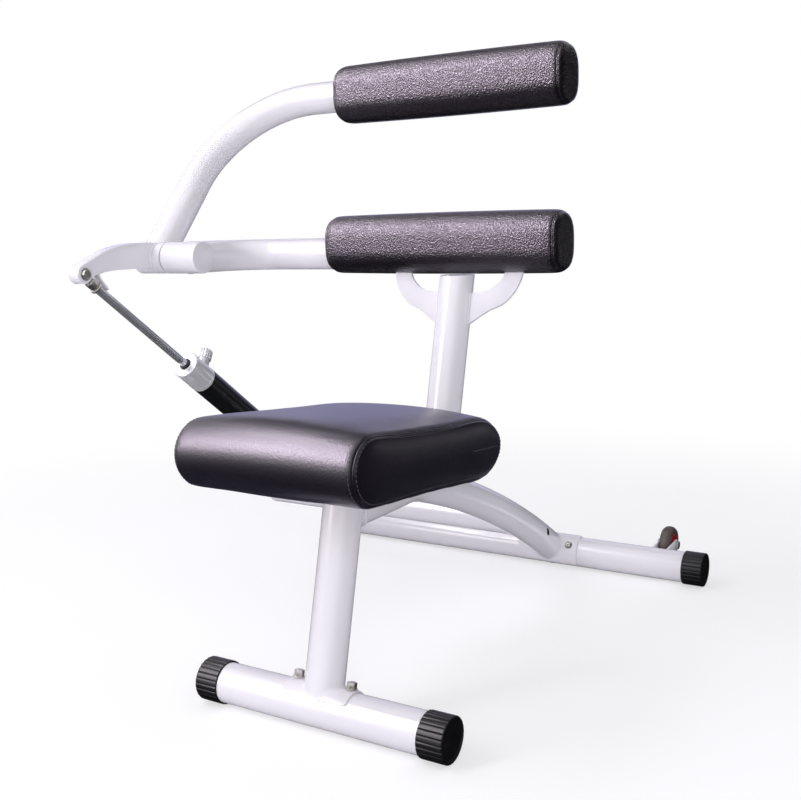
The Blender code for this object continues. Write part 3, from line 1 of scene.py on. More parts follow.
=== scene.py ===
"""Looks of a hydraulic back extension machine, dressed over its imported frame.

A white powder coated tube frame carries a vinyl seat and a fixed pad. The upper pad sits on an
arm that swings beside the seat and pushes a hydraulic cylinder through a short lever.

Drawing coordinates are those of the workshop drawing: X = 0 is the plane of the two posts, +X the
right of someone who faces the machine, Y = 0 the axis of the front foot and Z = 0 the floor.
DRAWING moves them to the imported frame. Lengths are metres.
"""

from __future__ import annotations

import json
import logging
from dataclasses import dataclass
from enum import Enum
from math import acos, atan2, cos, hypot, pi, radians, sin

import bmesh
import bpy
import numpy as np
from mathutils import Matrix, Vector
from mathutils.bvhtree import BVHTree


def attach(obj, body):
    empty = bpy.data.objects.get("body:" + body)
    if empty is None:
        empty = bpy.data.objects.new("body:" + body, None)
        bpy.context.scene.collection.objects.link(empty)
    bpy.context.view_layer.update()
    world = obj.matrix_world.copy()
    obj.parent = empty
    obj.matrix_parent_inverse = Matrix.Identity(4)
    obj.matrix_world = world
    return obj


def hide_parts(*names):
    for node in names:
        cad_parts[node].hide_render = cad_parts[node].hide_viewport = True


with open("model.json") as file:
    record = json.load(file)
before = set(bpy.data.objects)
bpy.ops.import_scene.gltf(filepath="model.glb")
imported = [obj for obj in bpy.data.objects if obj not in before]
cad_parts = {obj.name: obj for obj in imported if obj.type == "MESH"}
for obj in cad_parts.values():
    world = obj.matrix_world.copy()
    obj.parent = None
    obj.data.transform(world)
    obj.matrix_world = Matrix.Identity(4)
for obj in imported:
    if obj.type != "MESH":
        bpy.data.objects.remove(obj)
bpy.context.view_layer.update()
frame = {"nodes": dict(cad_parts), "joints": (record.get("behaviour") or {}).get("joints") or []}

Outline = list[tuple[float, float]]
Shape = bmesh.types.BMesh
Piece = bpy.types.Object

LOG = logging.getLogger("machine")
X_AXIS, Y_AXIS, Z_AXIS = Vector((1, 0, 0)), Vector((0, 1, 0)), Vector((0, 0, 1))


def joint_point(name: str) -> Vector:
    """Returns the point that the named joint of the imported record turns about."""
    return Vector(next(joint for joint in frame["joints"] if joint["name"] == name)["pos_m"])


PIVOT_X, PIVOT_Y, PIVOT_Z = -0.536, 0.278, 0.658
DRAWING = joint_point("arm_swing") - Vector((PIVOT_X, PIVOT_Y, PIVOT_Z))


def at(x: float, y: float, z: float) -> Vector:
    """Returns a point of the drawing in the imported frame."""
    return Vector((x, y, z)) + DRAWING


def leaning(degrees: float) -> Vector:
    """Returns the upward direction of a post that leans back by so many degrees."""
    return Vector((0, sin(radians(degrees)), cos(radians(degrees))))


def frame_at(origin: Vector, z_axis: Vector, x_axis: Vector) -> Matrix:
    """Gives a placing matrix.

    Args:
        origin: Where local zero goes.
        z_axis: Where local z points.
        x_axis: Roughly where local x points.

    Returns:
        The matrix, without scale.
    """
    along = z_axis.normalized()
    side = (x_axis - along * x_axis.dot(along)).normalized()
    made = Matrix((side, along.cross(side), along)).transposed().to_4x4()
    made.translation = origin
    return made


def side_plane(x: float) -> Matrix:
    """Returns the placing of an outline drawn in Y and Z at drawing position x."""
    made = Matrix((Y_AXIS, Z_AXIS, X_AXIS)).transposed().to_4x4()
    made.translation = at(x, 0, 0)
    return made


def crosswise(point: Vector) -> Matrix:
    """Returns the placing of a piece that is round about a line along X."""
    return frame_at(point, X_AXIS, Y_AXIS)


# Radii of the beams, posts, foot tubes and saddle plates.
TUBE, POST, FOOT = 0.0285, 0.029, 0.030
SADDLE_INNER, SADDLE_OUTER = 0.0303, 0.0333
# Height of the foot tubes' axes: a cap of 32.6 mm stands on the edges of two of its ribs.
CAP_RIBS = 24
FOOT_Z = 0.0326 * cos(0.62 * pi / CAP_RIBS)
# How far the posts lean back, in degrees.
SEAT_LEAN, BACK_LEAN = 13.9, 14.25
SEAT_POST_UP, BACK_POST_UP = leaning(SEAT_LEAN), leaning(BACK_LEAN)
REAR_Y = 0.834
FRONT_AXIS, REAR_AXIS = at(0, 0, FOOT_Z), at(0, REAR_Y, FOOT_Z)
# A point of the back post's axis, and the plane of the yoke's straps through it.
BACK_POST_Y, BACK_POST_Z = 0.4228, 0.6025
YOKE_PLANE = frame_at(at(0, BACK_POST_Y, BACK_POST_Z), X_AXIS.cross(BACK_POST_UP), X_AXIS)
# The middle of the seat's underside, which rises 5.6 degrees to the front.
SEAT_PLACE = frame_at(at(-0.002, 0.0845, 0.3426), leaning(5.6), X_AXIS)
# Ends and heights of the two pads, and the tube in the lower one.
UPPER_RIGHT, UPPER_Y, UPPER_Z = 0.1645, 0.518, 0.9423
LOWER_RIGHT, LOWER_Y, LOWER_Z = 0.187, 0.444, 0.6738
LOWER_TUBE_Y = 0.448
PAD_HEIGHT, PAD_CROWN = 0.101, 0.0015
# How far a pad runs past the end of its tube.
PAD_PAST_TUBE = 0.028
LEVER_Y, LEVER_Z = 0.098, 0.637
PIVOT = at(PIVOT_X, PIVOT_Y, PIVOT_Z)
LEVER_PIN = at(PIVOT_X, LEVER_Y, LEVER_Z)
SLOPE = radians(37.1)
DOWN = Vector((0, cos(SLOPE), -sin(SLOPE)))
OUT = Vector((0, sin(SLOPE), cos(SLOPE)))
CYLINDER = frame_at(LEVER_PIN, DOWN, X_AXIS)
LOWER_PIN = LEVER_PIN + DOWN * 0.7002
ARM_UP = Vector((0, UPPER_Y - PIVOT_Y, UPPER_Z - PIVOT_Z)).normalized()
ARM_RISE = hypot(UPPER_Y - PIVOT_Y, UPPER_Z - PIVOT_Z)


# Finishes


def hex_colour(code: str) -> tuple[float, float, float, float]:
    """Turns an sRGB colour into the linear one that a shader takes.

    Args:
        code: Six hexadecimal digits after a #.

    Returns:
        Linear red, green and blue, and an alpha of 1.
    """
    shares = [int(code[i:i + 2], 16) / 255 for i in (1, 3, 5)]
    red, green, blue = [s / 12.92 if s <= 0.04045 else ((s + 0.055) / 1.055) ** 2.4 for s in shares]
    return red, green, blue, 1.0


def add_node(tree: bpy.types.NodeTree, kind: str, links: dict | None = None,
             **settings: object) -> bpy.types.Node:
    """Adds a node with its settings, values and links.

    Args:
        tree: The node tree that it joins.
        kind: Blender's name of the node type.
        links: Sockets by name or number, each with a value or with the output that feeds it.
        **settings: The node's own properties.

    Returns:
        The new node.
    """
    made = tree.nodes.new(kind)
    for name, value in settings.items():
        setattr(made, name, value)
    for socket, value in (links or {}).items():
        if isinstance(value, bpy.types.NodeSocket):
            tree.links.new(value, made.inputs[socket])
        else:
            made.inputs[socket].default_value = value
    return made


def fresh_tree(owner: bpy.types.Material | bpy.types.World) -> bpy.types.NodeTree:
    """Returns the emptied node tree of a new material or world."""
    owner.use_nodes = True
    owner.node_tree.nodes.clear()
    return owner.node_tree


class Grain(Enum):
    """How a surface was made, which decides the pattern of its relief."""

    PEEL = "baked powder, with a faint orange peel"
    LEATHER = "embossed cells of vinyl hide"
    MOULDED = "fine spark-eroded mould texture"
    TURNED = "rings left by a lathe tool"
    VENEER = "peeled wood layers"


@dataclass(frozen=True)
class Finish:
    """A finish: its colours, its gloss and its relief. Patterns are sized in millimetres.

    The shine, coat and sheen numbers are even over the surface, so they sit on the shader.
    """

    name: str
    slot: str
    colour: str
    drift: str
    grain: Grain
    drift_mm: float = 60.0
    grain_mm: float = 2.0
    relief_mm: float = 0.02
    roughness: float = 0.4
    swing: float = 0.06
    metallic: float = 0.0
    specular: float = 0.5
    coat: float = 0.0
    coat_roughness: float = 0.1
    sheen: float = 0.0
    sheen_colour: str = "#FFFFFF"
    glint: str = "#FFFFFF"
    turned_to: tuple[float, float, float] = (0.0, 0.0, 0.0)

    def height(self, tree: bpy.types.NodeTree, coords: bpy.types.NodeSocket) -> bpy.types.NodeSocket:
        """Draws the relief.

        Args:
            tree: The material's nodes.
            coords: The piece's own coordinates.

        Returns:
            The height, from 0 to 1.
        """
        scale = 1000 / self.grain_mm
        if self.grain is Grain.LEATHER:
            bent = add_node(tree, "ShaderNodeTexNoise", {"Vector": coords, "Scale": scale * 0.6, "Detail": 2.0})
            cells = add_node(tree, "ShaderNodeTexVoronoi", {"Vector": coords, "Scale": scale, "Randomness": 1.0})
            mixed = add_node(tree, "ShaderNodeMath",
                             {0: cells.outputs["Distance"], 1: bent.outputs["Fac"]}, operation="ADD")
            return mixed.outputs[0]
        if self.grain in (Grain.TURNED, Grain.VENEER):
            turn = add_node(tree, "ShaderNodeMapping", {"Vector": coords, "Rotation": self.turned_to})
            wave = add_node(tree, "ShaderNodeTexWave",
                            {"Vector": turn.outputs[0], "Scale": 0.314 * scale, "Distortion": 0.6,
                             "Detail": 2.0, "Detail Scale": 3.0}, bands_direction="Z")
            return wave.outputs["Fac"]
        detail = 1.0 if self.grain is Grain.PEEL else 4.0
        noise = add_node(tree, "ShaderNodeTexNoise", {"Vector": coords, "Scale": scale, "Detail": detail})
        return noise.outputs["Fac"]

    def material(self) -> bpy.types.Material:
        """Returns the finish as a material, made once."""
        found = bpy.data.materials.get(self.name)
        if found:
            return found
        made = bpy.data.materials.new(self.name)
        tree = fresh_tree(made)
        coords = add_node(tree, "ShaderNodeTexCoord").outputs["Object"]
        drift = add_node(tree, "ShaderNodeTexNoise",
                         {"Vector": coords, "Scale": 1000 / self.drift_mm, "Detail": 4.0}).outputs["Fac"]
        height = self.height(tree, coords)
        patch = add_node(tree, "ShaderNodeMapRange", {"Value": drift, "From Min": 0.3, "From Max": 0.7})
        colour = add_node(tree, "ShaderNodeMix",
                          {"Factor": patch.outputs[0], 6: hex_colour(self.colour), 7: hex_colour(self.drift)},
                          data_type="RGBA")
        gloss = add_node(tree, "ShaderNodeMapRange",
                         {"Value": height, "To Min": self.roughness - self.swing,
                          "To Max": self.roughness + self.swing})
        bump = add_node(tree, "ShaderNodeBump",
                        {"Height": height, "Strength": 1.0, "Distance": self.relief_mm / 1000})
        shader = add_node(tree, "ShaderNodeBsdfPrincipled", {
            "Base Color": colour.outputs[2], "Roughness": gloss.outputs[0], "Normal": bump.outputs[0],
            "Metallic": self.metallic, "Specular IOR Level": self.specular,
            "Specular Tint": hex_colour(self.glint), "Coat Weight": self.coat,
            "Coat Roughness": self.coat_roughness, "Coat Normal": bump.outputs[0],
            "Sheen Weight": self.sheen, "Sheen Tint": hex_colour(self.sheen_colour)})
        add_node(tree, "ShaderNodeOutputMaterial", {"Surface": shader.outputs[0]})
        return made


# Polyester powder baked on steel: a clean, faintly cool white with a hard gloss.
POWDER = Finish("gloss_white_powder_coat", "white_powder_coat", "#EFEDF2", "#E9E7ED", Grain.PEEL,
                drift_mm=180, grain_mm=3.0, relief_mm=0.02, roughness=0.24, swing=0.05, coat=0.35,
                coat_roughness=0.06)
# The same powder on the flat plates of the yoke: satin, so that they don't mirror the front lamps, and painted a
# little darker as the shade that falls on them under the pad.
SHADED_POWDER = Finish("satin_white_powder_coat", "white_powder_coat", "#E6E4E9", "#E0DEE4", Grain.PEEL,
                     drift_mm=180, grain_mm=3.0, relief_mm=0.02, roughness=0.55, swing=0.05, specular=0.25)
# Expanded vinyl over foam. Its hide grain, really 1 mm across, is drawn at 2.4 mm so that it shows.
VINYL = Finish("grained_black_vinyl", "black_vinyl", "#0E0C11", "#131016", Grain.LEATHER,
               drift_mm=90, grain_mm=2.4, relief_mm=0.72, roughness=0.26, swing=0.10, specular=1.0,
               coat=0.55, coat_roughness=0.18, glint="#F4E4F6")
# The same vinyl on the seat, stretched smoother over its broad top.
SEAT_VINYL = Finish("stretched_black_vinyl", "black_vinyl", "#0E0C11", "#131016", Grain.LEATHER,
                    drift_mm=120, grain_mm=2.0, relief_mm=0.13, roughness=0.37, swing=0.08, specular=0.72,
                    coat=0.52, coat_roughness=0.28, sheen=0.09, sheen_colour="#9C99CC", glint="#F2E6F8")
# Bonded polyester thread, dark grey beside the black vinyl.
THREAD = Finish("bonded_polyester_thread", "black_vinyl", "#49454D", "#3D3A41", Grain.MOULDED,
                drift_mm=12, grain_mm=0.8, relief_mm=0.05, roughness=0.5, sheen=0.3)
# Injection moulded polyethylene caps. Satin black with a fine mould texture.
CAP_PLASTIC = Finish("moulded_black_polyethylene", "black_plastic", "#121113", "#18171A", Grain.MOULDED,
                     drift_mm=40, grain_mm=1.2, relief_mm=0.04, roughness=0.42, swing=0.08, specular=0.45)
# The plated and turned metals are slightly less than fully metallic, so that they don't turn black beside
# the stage's dark cards.
# Bright zinc plate on steel bolts. Grey with a warm cloud here and there.
ZINC = Finish("bright_zinc_plate", "zinc_steel", "#DAD8D4", "#C4C1BC", Grain.MOULDED,
              drift_mm=9, grain_mm=1.5, relief_mm=0.02, roughness=0.33, swing=0.08, metallic=0.9)
# Turns the lathe rings square to the cylinder's slope.
ROD_TILT = (SLOPE + pi / 2, 0, 0)
# Hard chrome on a ground rod: a mirror with the faintest rings of the grinding.
CHROME = Finish("hard_chrome", "chrome", "#D5D6DA", "#C9CBD0", Grain.TURNED,
                drift_mm=80, grain_mm=4.0, relief_mm=0.0002, roughness=0.12, swing=0.02, metallic=0.76,
                turned_to=ROD_TILT)
# Turned aluminium, clear anodised. Silvery, with the rings of the tool.
ALUMINIUM = Finish("turned_aluminium", "machined_aluminium", "#EEEFF1", "#E4E5E8", Grain.TURNED,
                   drift_mm=40, grain_mm=1.6, relief_mm=0.003, roughness=0.30, swing=0.06, metallic=0.50,
                   turned_to=ROD_TILT)
# Black stoving paint on the barrel: satin, nearly smooth.
BARREL_PAINT = Finish("satin_black_stoving_paint", "black_paint", "#0F1013", "#141519", Grain.PEEL,
                      drift_mm=50, grain_mm=2.2, relief_mm=0.02, roughness=0.33, swing=0.06, specular=0.55)
# Nitrile wiper seal: dull black.
SEAL = Finish("nitrile_rubber", "seal_rubber", "#1D1D1E", "#262627", Grain.MOULDED,
              drift_mm=15, grain_mm=0.9, relief_mm=0.03, roughness=0.6)
# Painted shade for the inside of a drilled hole: a matt near-black liner that stands in for the shadow there.
BORE_SHADE = Finish("painted_bore_shade", "seal_rubber", "#050505", "#070707", Grain.MOULDED,
              drift_mm=15, grain_mm=0.9, relief_mm=0.01, roughness=0.9, specular=0.1)
# Tyre rubber, grey brown with the dust that it picks up from the floor.
TYRE = Finish("dusty_grey_rubber", "grey_rubber", "#5E534C", "#463F3B", Grain.MOULDED,
              drift_mm=14, grain_mm=1.1, relief_mm=0.10, roughness=0.58, swing=0.10)
# Moulded red nylon hubs with a soft shine.
HUB_PLASTIC = Finish("moulded_red_nylon", "red_plastic", "#B5231B", "#981B15", Grain.MOULDED,
                     drift_mm=20, grain_mm=1.0, relief_mm=0.03, roughness=0.35)
# Oiled sintered bronze of the bushes, painted dark brown: the line in the gap beside the hub is partly the bronze's
# own tone and partly painted shade in that gap.
BRONZE_AND_GAP_SHADE = Finish("oiled_bronze_and_gap_shade", "bronze", "#5A4936", "#43372A", Grain.MOULDED,
                drift_mm=8, grain_mm=0.6, relief_mm=0.02, roughness=0.45, metallic=1.0)
# Bare birch plywood of the seat board, with its peeled layers.
PLYWOOD = Finish("birch_plywood", "plywood", "#B98F5E", "#A57B4B", Grain.VENEER,
                 drift_mm=30, grain_mm=2.4, relief_mm=0.05, roughness=0.62)
# Turned mild steel of the shaft and piston.
STEEL = Finish("turned_steel", "steel", "#8E8F92", "#77787B", Grain.TURNED,
               drift_mm=20, grain_mm=1.2, relief_mm=0.01, roughness=0.3, metallic=1.0,
               turned_to=(0, radians(90), 0))


# Shaping


@dataclass(frozen=True)
class Flutes:
    """Grooves along a turned piece: their count and depth, and where they run."""

    count: int
    depth: float
    land: float
    low: float
    high: float
    least_radius: float

    def bite(self, bm: Shape) -> None:
        """Draws the outer points of a turned shape in where a groove passes them.

        Args:
            bm: The shape, still about its local z.
        """
        for vert in bm.verts:
            radius = hypot(vert.co.x, vert.co.y)
            if radius < self.least_radius or not self.low <= vert.co.z <= self.high:
                continue
            share = ((atan2(vert.co.y, vert.co.x) / (2 * pi) * self.count + 0.5) % 1 - 0.5) * 2
            away = (abs(share) - self.land) / (1 - self.land)
            if away > 0:
                vert.co.xy *= 1 - self.depth * away / radius


def placed(bm: Shape, place: Matrix) -> Shape:
    """Moves a shape from local coordinates to its place, and returns it."""
    bmesh.ops.transform(bm, matrix=place, verts=bm.verts)
    return bm


def lifted(profile: Outline, height: float) -> Outline:
    """Returns a profile moved up by a height."""
    return [(radius, height + rise) for radius, rise in profile]


def rod_profile(radius: float, low: float, high: float) -> Outline:
    """Returns the profile of a plain cylinder."""
    return [(0, low), (radius, low), (radius, high), (0, high)]


def flipped(profile: Outline) -> Outline:
    """Returns the other half of a profile that is even about height zero."""
    return [(radius, -height) for radius, height in reversed(profile)]


def turned(profile: Outline, place: Matrix, steps: int = 64,
           flutes: Flutes | None = None) -> Shape:
    """Spins a profile about local z.

    Args:
        profile: Points as radius and height. A ring's profile ends where it began.
        place: Where the shape goes.
        steps: Steps of the full turn.
        flutes: Grooves to cut along it.

    Returns:
        The closed shape.
    """
    bm = bmesh.new()
    verts = [bm.verts.new((radius, 0, height)) for radius, height in profile]
    edges = [bm.edges.new(pair) for pair in zip(verts, verts[1:])]
    bmesh.ops.spin(bm, geom=verts + edges, cent=(0, 0, 0), axis=(0, 0, 1), angle=2 * pi, steps=steps,
                   use_merge=True)
    bmesh.ops.remove_doubles(bm, verts=bm.verts, dist=1e-6)
    bmesh.ops.recalc_face_normals(bm, faces=bm.faces)
    if flutes:
        flutes.bite(bm)
    return placed(bm, place)


def plate(outline: Outline, place: Matrix, thickness: float) -> Shape:
    """Extrudes a flat outline.

    Args:
        outline: Corners in local x and y.
        place: Where the plate's middle plane goes.
        thickness: Along local z.

    Returns:
        The closed plate.
    """
    bm = bmesh.new()
    face = bm.faces.new([bm.verts.new((x, y, -thickness / 2)) for x, y in outline])
    grown = bmesh.ops.extrude_face_region(bm, geom=[face])["geom"]
    top = [item for item in grown if isinstance(item, bmesh.types.BMVert)]
    bmesh.ops.translate(bm, verts=top, vec=(0, 0, thickness))
    bmesh.ops.recalc_face_normals(bm, faces=bm.faces)
    return placed(bm, place)


def soften(bm: Shape, width: float, segments: int = 2,
           angle: float = 40.0) -> Shape:
    """Rounds the edges that turn by more than angle degrees.

    Args:
        bm: The shape.
        width: Width of the rounding.
        segments: Its facets.
        angle: The least turn that is rounded.

    Returns:
        The same shape.
    """
    sharp = [edge for edge in bm.edges if edge.calc_face_angle(0) > radians(angle)]
    bmesh.ops.bevel(bm, geom=sharp, offset=width, segments=segments, profile=0.5, affect="EDGES",
                    material=-1, clamp_overlap=True)
    return bm


def prism(radius: float, low: float, high: float, place: Matrix, edge: float) -> Shape:
    """Makes a hexagonal bolt head, nut or socket.

    Args:
        radius: To a corner.
        low: Height of its foot along local z.
        high: Height of its top.
        place: Where it goes.
        edge: Rounding of its edges.

    Returns:
        The closed shape.
    """
    bm = bmesh.new()
    bmesh.ops.create_cone(bm, cap_ends=True, segments=6, radius1=radius, radius2=radius, depth=high - low)
    bmesh.ops.translate(bm, verts=bm.verts, vec=(0, 0, (high + low) / 2))
    soften(bm, edge)
    return placed(bm, place)


def block(low: tuple[float, float, float], high: tuple[float, float, float],
          place: Matrix) -> Shape:
    """Returns a box between two local corners, for cutting or joining."""
    bm = bmesh.new()
    bmesh.ops.create_cube(bm, size=1)
    bmesh.ops.scale(bm, verts=bm.verts, vec=Vector(high) - Vector(low))
    bmesh.ops.translate(bm, verts=bm.verts, vec=(Vector(high) + Vector(low)) / 2)
    return placed(bm, place)


def together(*shapes: Shape) -> Shape:
    """Puts several shapes in one, without merging them.

    Args:
        *shapes: Shapes, which are used up.

    Returns:
        The first shape with the others in it.
    """
    for other in shapes[1:]:
        passing = bpy.data.meshes.new("passing")
        other.to_mesh(passing)
        other.free()
        shapes[0].from_mesh(passing)
        bpy.data.meshes.remove(passing)
    return shapes[0]


def arc(centre: tuple[float, float], radius: float, first: float, last: float,
        steps: int) -> Outline:
    """Returns points on an arc between two angles, in radians."""
    turns = [first + (last - first) * i / steps for i in range(steps + 1)]
    return [(centre[0] + radius * cos(turn), centre[1] + radius * sin(turn)) for turn in turns]


def arc_about(axis: Vector, shift: float, radius: float, first: float, last: float,
              steps: int) -> list[Vector]:
    """Draws an arc about a line along X.

    Args:
        axis: A point of that line.
        shift: How far along it the arc lies.
        radius: Of the arc.
        first: Its first angle from +Y, in degrees.
        last: Its last angle.
        steps: Steps between them.

    Returns:
        The points.
    """
    turns = [radians(first + (last - first) * i / steps) for i in range(steps + 1)]
    return [axis + Vector((shift, radius * cos(turn), radius * sin(turn))) for turn in turns]


def smooth_line(points: Outline, parts: int = 6) -> Outline:
    """Runs a smooth curve through points.

    Args:
        points: Its points in order.
        parts: Steps between two of them.

    Returns:
        The points of the curve, ends included.
    """
    ends = [Vector(points[0]) * 2 - Vector(points[1]), Vector(points[-1]) * 2 - Vector(points[-2])]
    knots = [ends[0], *map(Vector, points), ends[1]]
    made = []
    for a, b, c, d in zip(knots, knots[1:], knots[2:], knots[3:]):
        for i in range(parts):
            t = i / parts
            spot = 0.5 * (2 * b + (c - a) * t + (2 * a - 5 * b + 4 * c - d) * t**2
                          + (3 * b - a - 3 * c + d) * t**3)
            made.append((spot.x, spot.y))
    return made + [tuple(points[-1])]


def rounded_box(width: float, height: float, corner: float, steps: int = 8) -> Outline:
    """Returns the outline of a rectangle with round corners about local zero."""
    points = []
    for quarter, (sx, sy) in enumerate(((1, 1), (-1, 1), (-1, -1), (1, -1))):
        middle = (sx * (width / 2 - corner), sy * (height / 2 - corner))
        points += arc(middle, corner, quarter * pi / 2, (quarter + 1) * pi / 2, steps)
    return points


def drawn_in(outline: Outline, depth: float) -> Outline:
    """Moves a closed outline inward, square to itself.

    Args:
        outline: Its points, anticlockwise.
        depth: How far in.

    Returns:
        The new points.
    """
    made = []
    for before, (x, y), after in zip([outline[-1], *outline], outline, outline[1:] + outline[:1]):
        run = (Vector(after) - Vector(before)).normalized()
        made.append((x - run.y * depth, y + run.x * depth))
    return made


def lug_outline(eye: tuple[float, float], eye_radius: float, foot_low: tuple[float, float],
                foot_high: tuple[float, float]) -> Outline:
    """Draws an ear that tapers from its foot to a round eye.

    Args:
        eye: Middle of the eye.
        eye_radius: Its outer radius.
        foot_low: One end of the foot.
        foot_high: The other end.

    Returns:
        The outline.
    """
    low, high = Vector(foot_low) - Vector(eye), Vector(foot_high) - Vector(eye)
    side = 1 if low.cross(high) > 0 else -1
    first = atan2(high.y, high.x) + side * acos(eye_radius / high.length)
    last = atan2(low.y, low.x) - side * acos(eye_radius / low.length)
    turn = (last - first) * side % (2 * pi)
    return [foot_low, foot_high] + arc(eye, eye_radius, first, first + side * turn, 28)


def meeting(foot: Vector, away: Vector, radius: float, target: Vector, axis: Vector,
            target_radius: float, steps: int = 72) -> list[Vector]:
    """Finds where a round tube leaves another round piece, for a weld bead.

    Args:
        foot: A point on the tube's axis, inside the other piece.
        away: The direction in which the tube leaves.
        radius: The tube's radius.
        target: A point on the other piece's axis.
        axis: Direction of that axis.
        target_radius: The other piece's radius.
        steps: Points round the tube.

    Returns:
        The points of the closed line.
    """
    placing = frame_at(foot, away, axis)
    radius = min(radius, 0.98 * target_radius)
    run = away - axis * away.dot(axis)
    points = []
    for i in range(steps):
        turn = 2 * pi * i / steps
        start = placing @ Vector((radius * cos(turn), radius * sin(turn), 0))
        gap = start - target
        gap -= axis * gap.dot(axis)
        a, b, c = run.dot(run), 2 * gap.dot(run), gap.dot(gap) - target_radius**2
        points.append(start + away * ((-b + max(0.0, b * b - 4 * a * c) ** 0.5) / (2 * a)))
    return points


def tube_line(points: list[Vector], radius: float, closed: bool = False, ripple: float = 0.0,
              sides: int = 48, filled: bool = True) -> Shape:
    """Runs a round tube or bead along a line.

    Args:
        points: The line's points.
        radius: Of the tube.
        closed: Whether the line meets itself.
        ripple: Share by which a weld bead swells and narrows.
        sides: Sides of the tube.
        filled: Whether open ends are closed.

    Returns:
        The tube as a shape.
    """
    line = bpy.data.curves.new("line", "CURVE")
    line.dimensions = "3D"
    line.bevel_depth = radius
    line.bevel_resolution = max(1, sides // 4 - 1)
    line.use_fill_caps = filled and not closed
    run = line.splines.new("POLY")
    run.points.add(len(points) - 1)
    for i, (spot, point) in enumerate(zip(run.points, points)):
        spot.co = (*point, 1)
        spot.radius = 1 + ripple * sin(i * 2.4)
    run.use_cyclic_u = closed
    holder = bpy.data.objects.new("line", line)
    bpy.context.scene.collection.objects.link(holder)
    graph = bpy.context.evaluated_depsgraph_get()
    mesh = bpy.data.meshes.new_from_object(holder.evaluated_get(graph))
    bm = bmesh.new()
    bm.from_mesh(mesh)
    bpy.data.objects.remove(holder)
    bpy.data.curves.remove(line)
    bpy.data.meshes.remove(mesh)
    bmesh.ops.remove_doubles(bm, verts=bm.verts, dist=1e-6)
    bmesh.ops.recalc_face_normals(bm, faces=bm.faces)
    return bm


def lofted(rings: list[list[Vector]], looped: bool = False) -> Shape:
    """Bridges closed rings of points.

    Args:
        rings: The rings in order.
        looped: Whether the last is bridged to the first, instead of a cap on both.

    Returns:
        The closed shape.
    """
    bm = bmesh.new()
    loops = []
    for ring in rings:
        verts = [bm.verts.new(point) for point in ring]
        loops.append([bm.edges.new((a, b)) for a, b in zip(verts, verts[1:] + verts[:1])])
    for one, other in zip(loops, loops[1:] + loops[:1] if looped else loops[1:]):
        bmesh.ops.bridge_loops(bm, edges=one + other)
    if not looped:
        for loop in (loops[0], loops[-1]):
            bmesh.ops.contextual_create(bm, geom=loop)
    bmesh.ops.recalc_face_normals(bm, faces=bm.faces)
    return bm


def fillet(corner: list[Vector], foot: Vector, away: Vector, target: Vector, axis: Vector,
           target_radius: float, rise: float, spread: float) -> Shape:
    """Fills the corner between a round tube and another round piece with a hollow weld.

    Args:
        corner: The line where they meet.
        foot: A point on the tube's axis.
        away: The direction in which the tube leaves.
        target: A point on the other piece's axis.
        axis: Direction of that axis.
        target_radius: The other piece's radius.
        rise: How far the weld climbs the tube.
        spread: How far it runs out over the other piece.

    Returns:
        The weld.
    """
    rings = [[] for _ in range(8)]
    for point in corner:
        out = point - foot
        out = (out - away * out.dot(away)).normalized()
        gap = point + out * spread - target
        gap -= axis * gap.dot(axis)
        low = point + out * spread + gap.normalized() * (target_radius - 0.0002 - gap.length)
        high = point + away * rise - out * 0.0002
        for i in range(7):
            t = i / 6
            rings[i].append(high * (1 - t) ** 2 + point * 2 * t * (1 - t) + low * t**2)
        rings[7].append(point - out * 0.003 - gap.normalized() * 0.002)
    return lofted(rings, looped=True)


def wrapped_plate(half_length: float, first: float, last: float, axis: Vector) -> Shape:
    """Bends a flat plate with round corners about a foot tube.

    Args:
        half_length: Half its length along the tube.
        first: Angle of its lower edge from +Y, in radians.
        last: Angle of its other edge.
        axis: A point on the tube's axis at the plate's middle.

    Returns:
        The saddle plate.
    """
    middle = (SADDLE_INNER + SADDLE_OUTER) / 2
    width = (last - first) * middle
    thickness = SADDLE_OUTER - SADDLE_INNER
    bm = plate(rounded_box(2 * half_length, width, 0.005), Matrix(), thickness)
    soften(bm, 0.0009)
    for i in range(1, 40):
        bmesh.ops.bisect_plane(bm, geom=bm.verts[:] + bm.edges[:] + bm.faces[:], dist=1e-6,
                               plane_co=(0, width * (i / 40 - 0.5), 0), plane_no=(0, 1, 0))
    for vert in bm.verts:
        turn = (first + last) / 2 + vert.co.y / middle
        radius = middle + vert.co.z
        vert.co = axis + Vector((vert.co.x, radius * cos(turn), radius * sin(turn)))
    bmesh.ops.recalc_face_normals(bm, faces=bm.faces)
    return bm


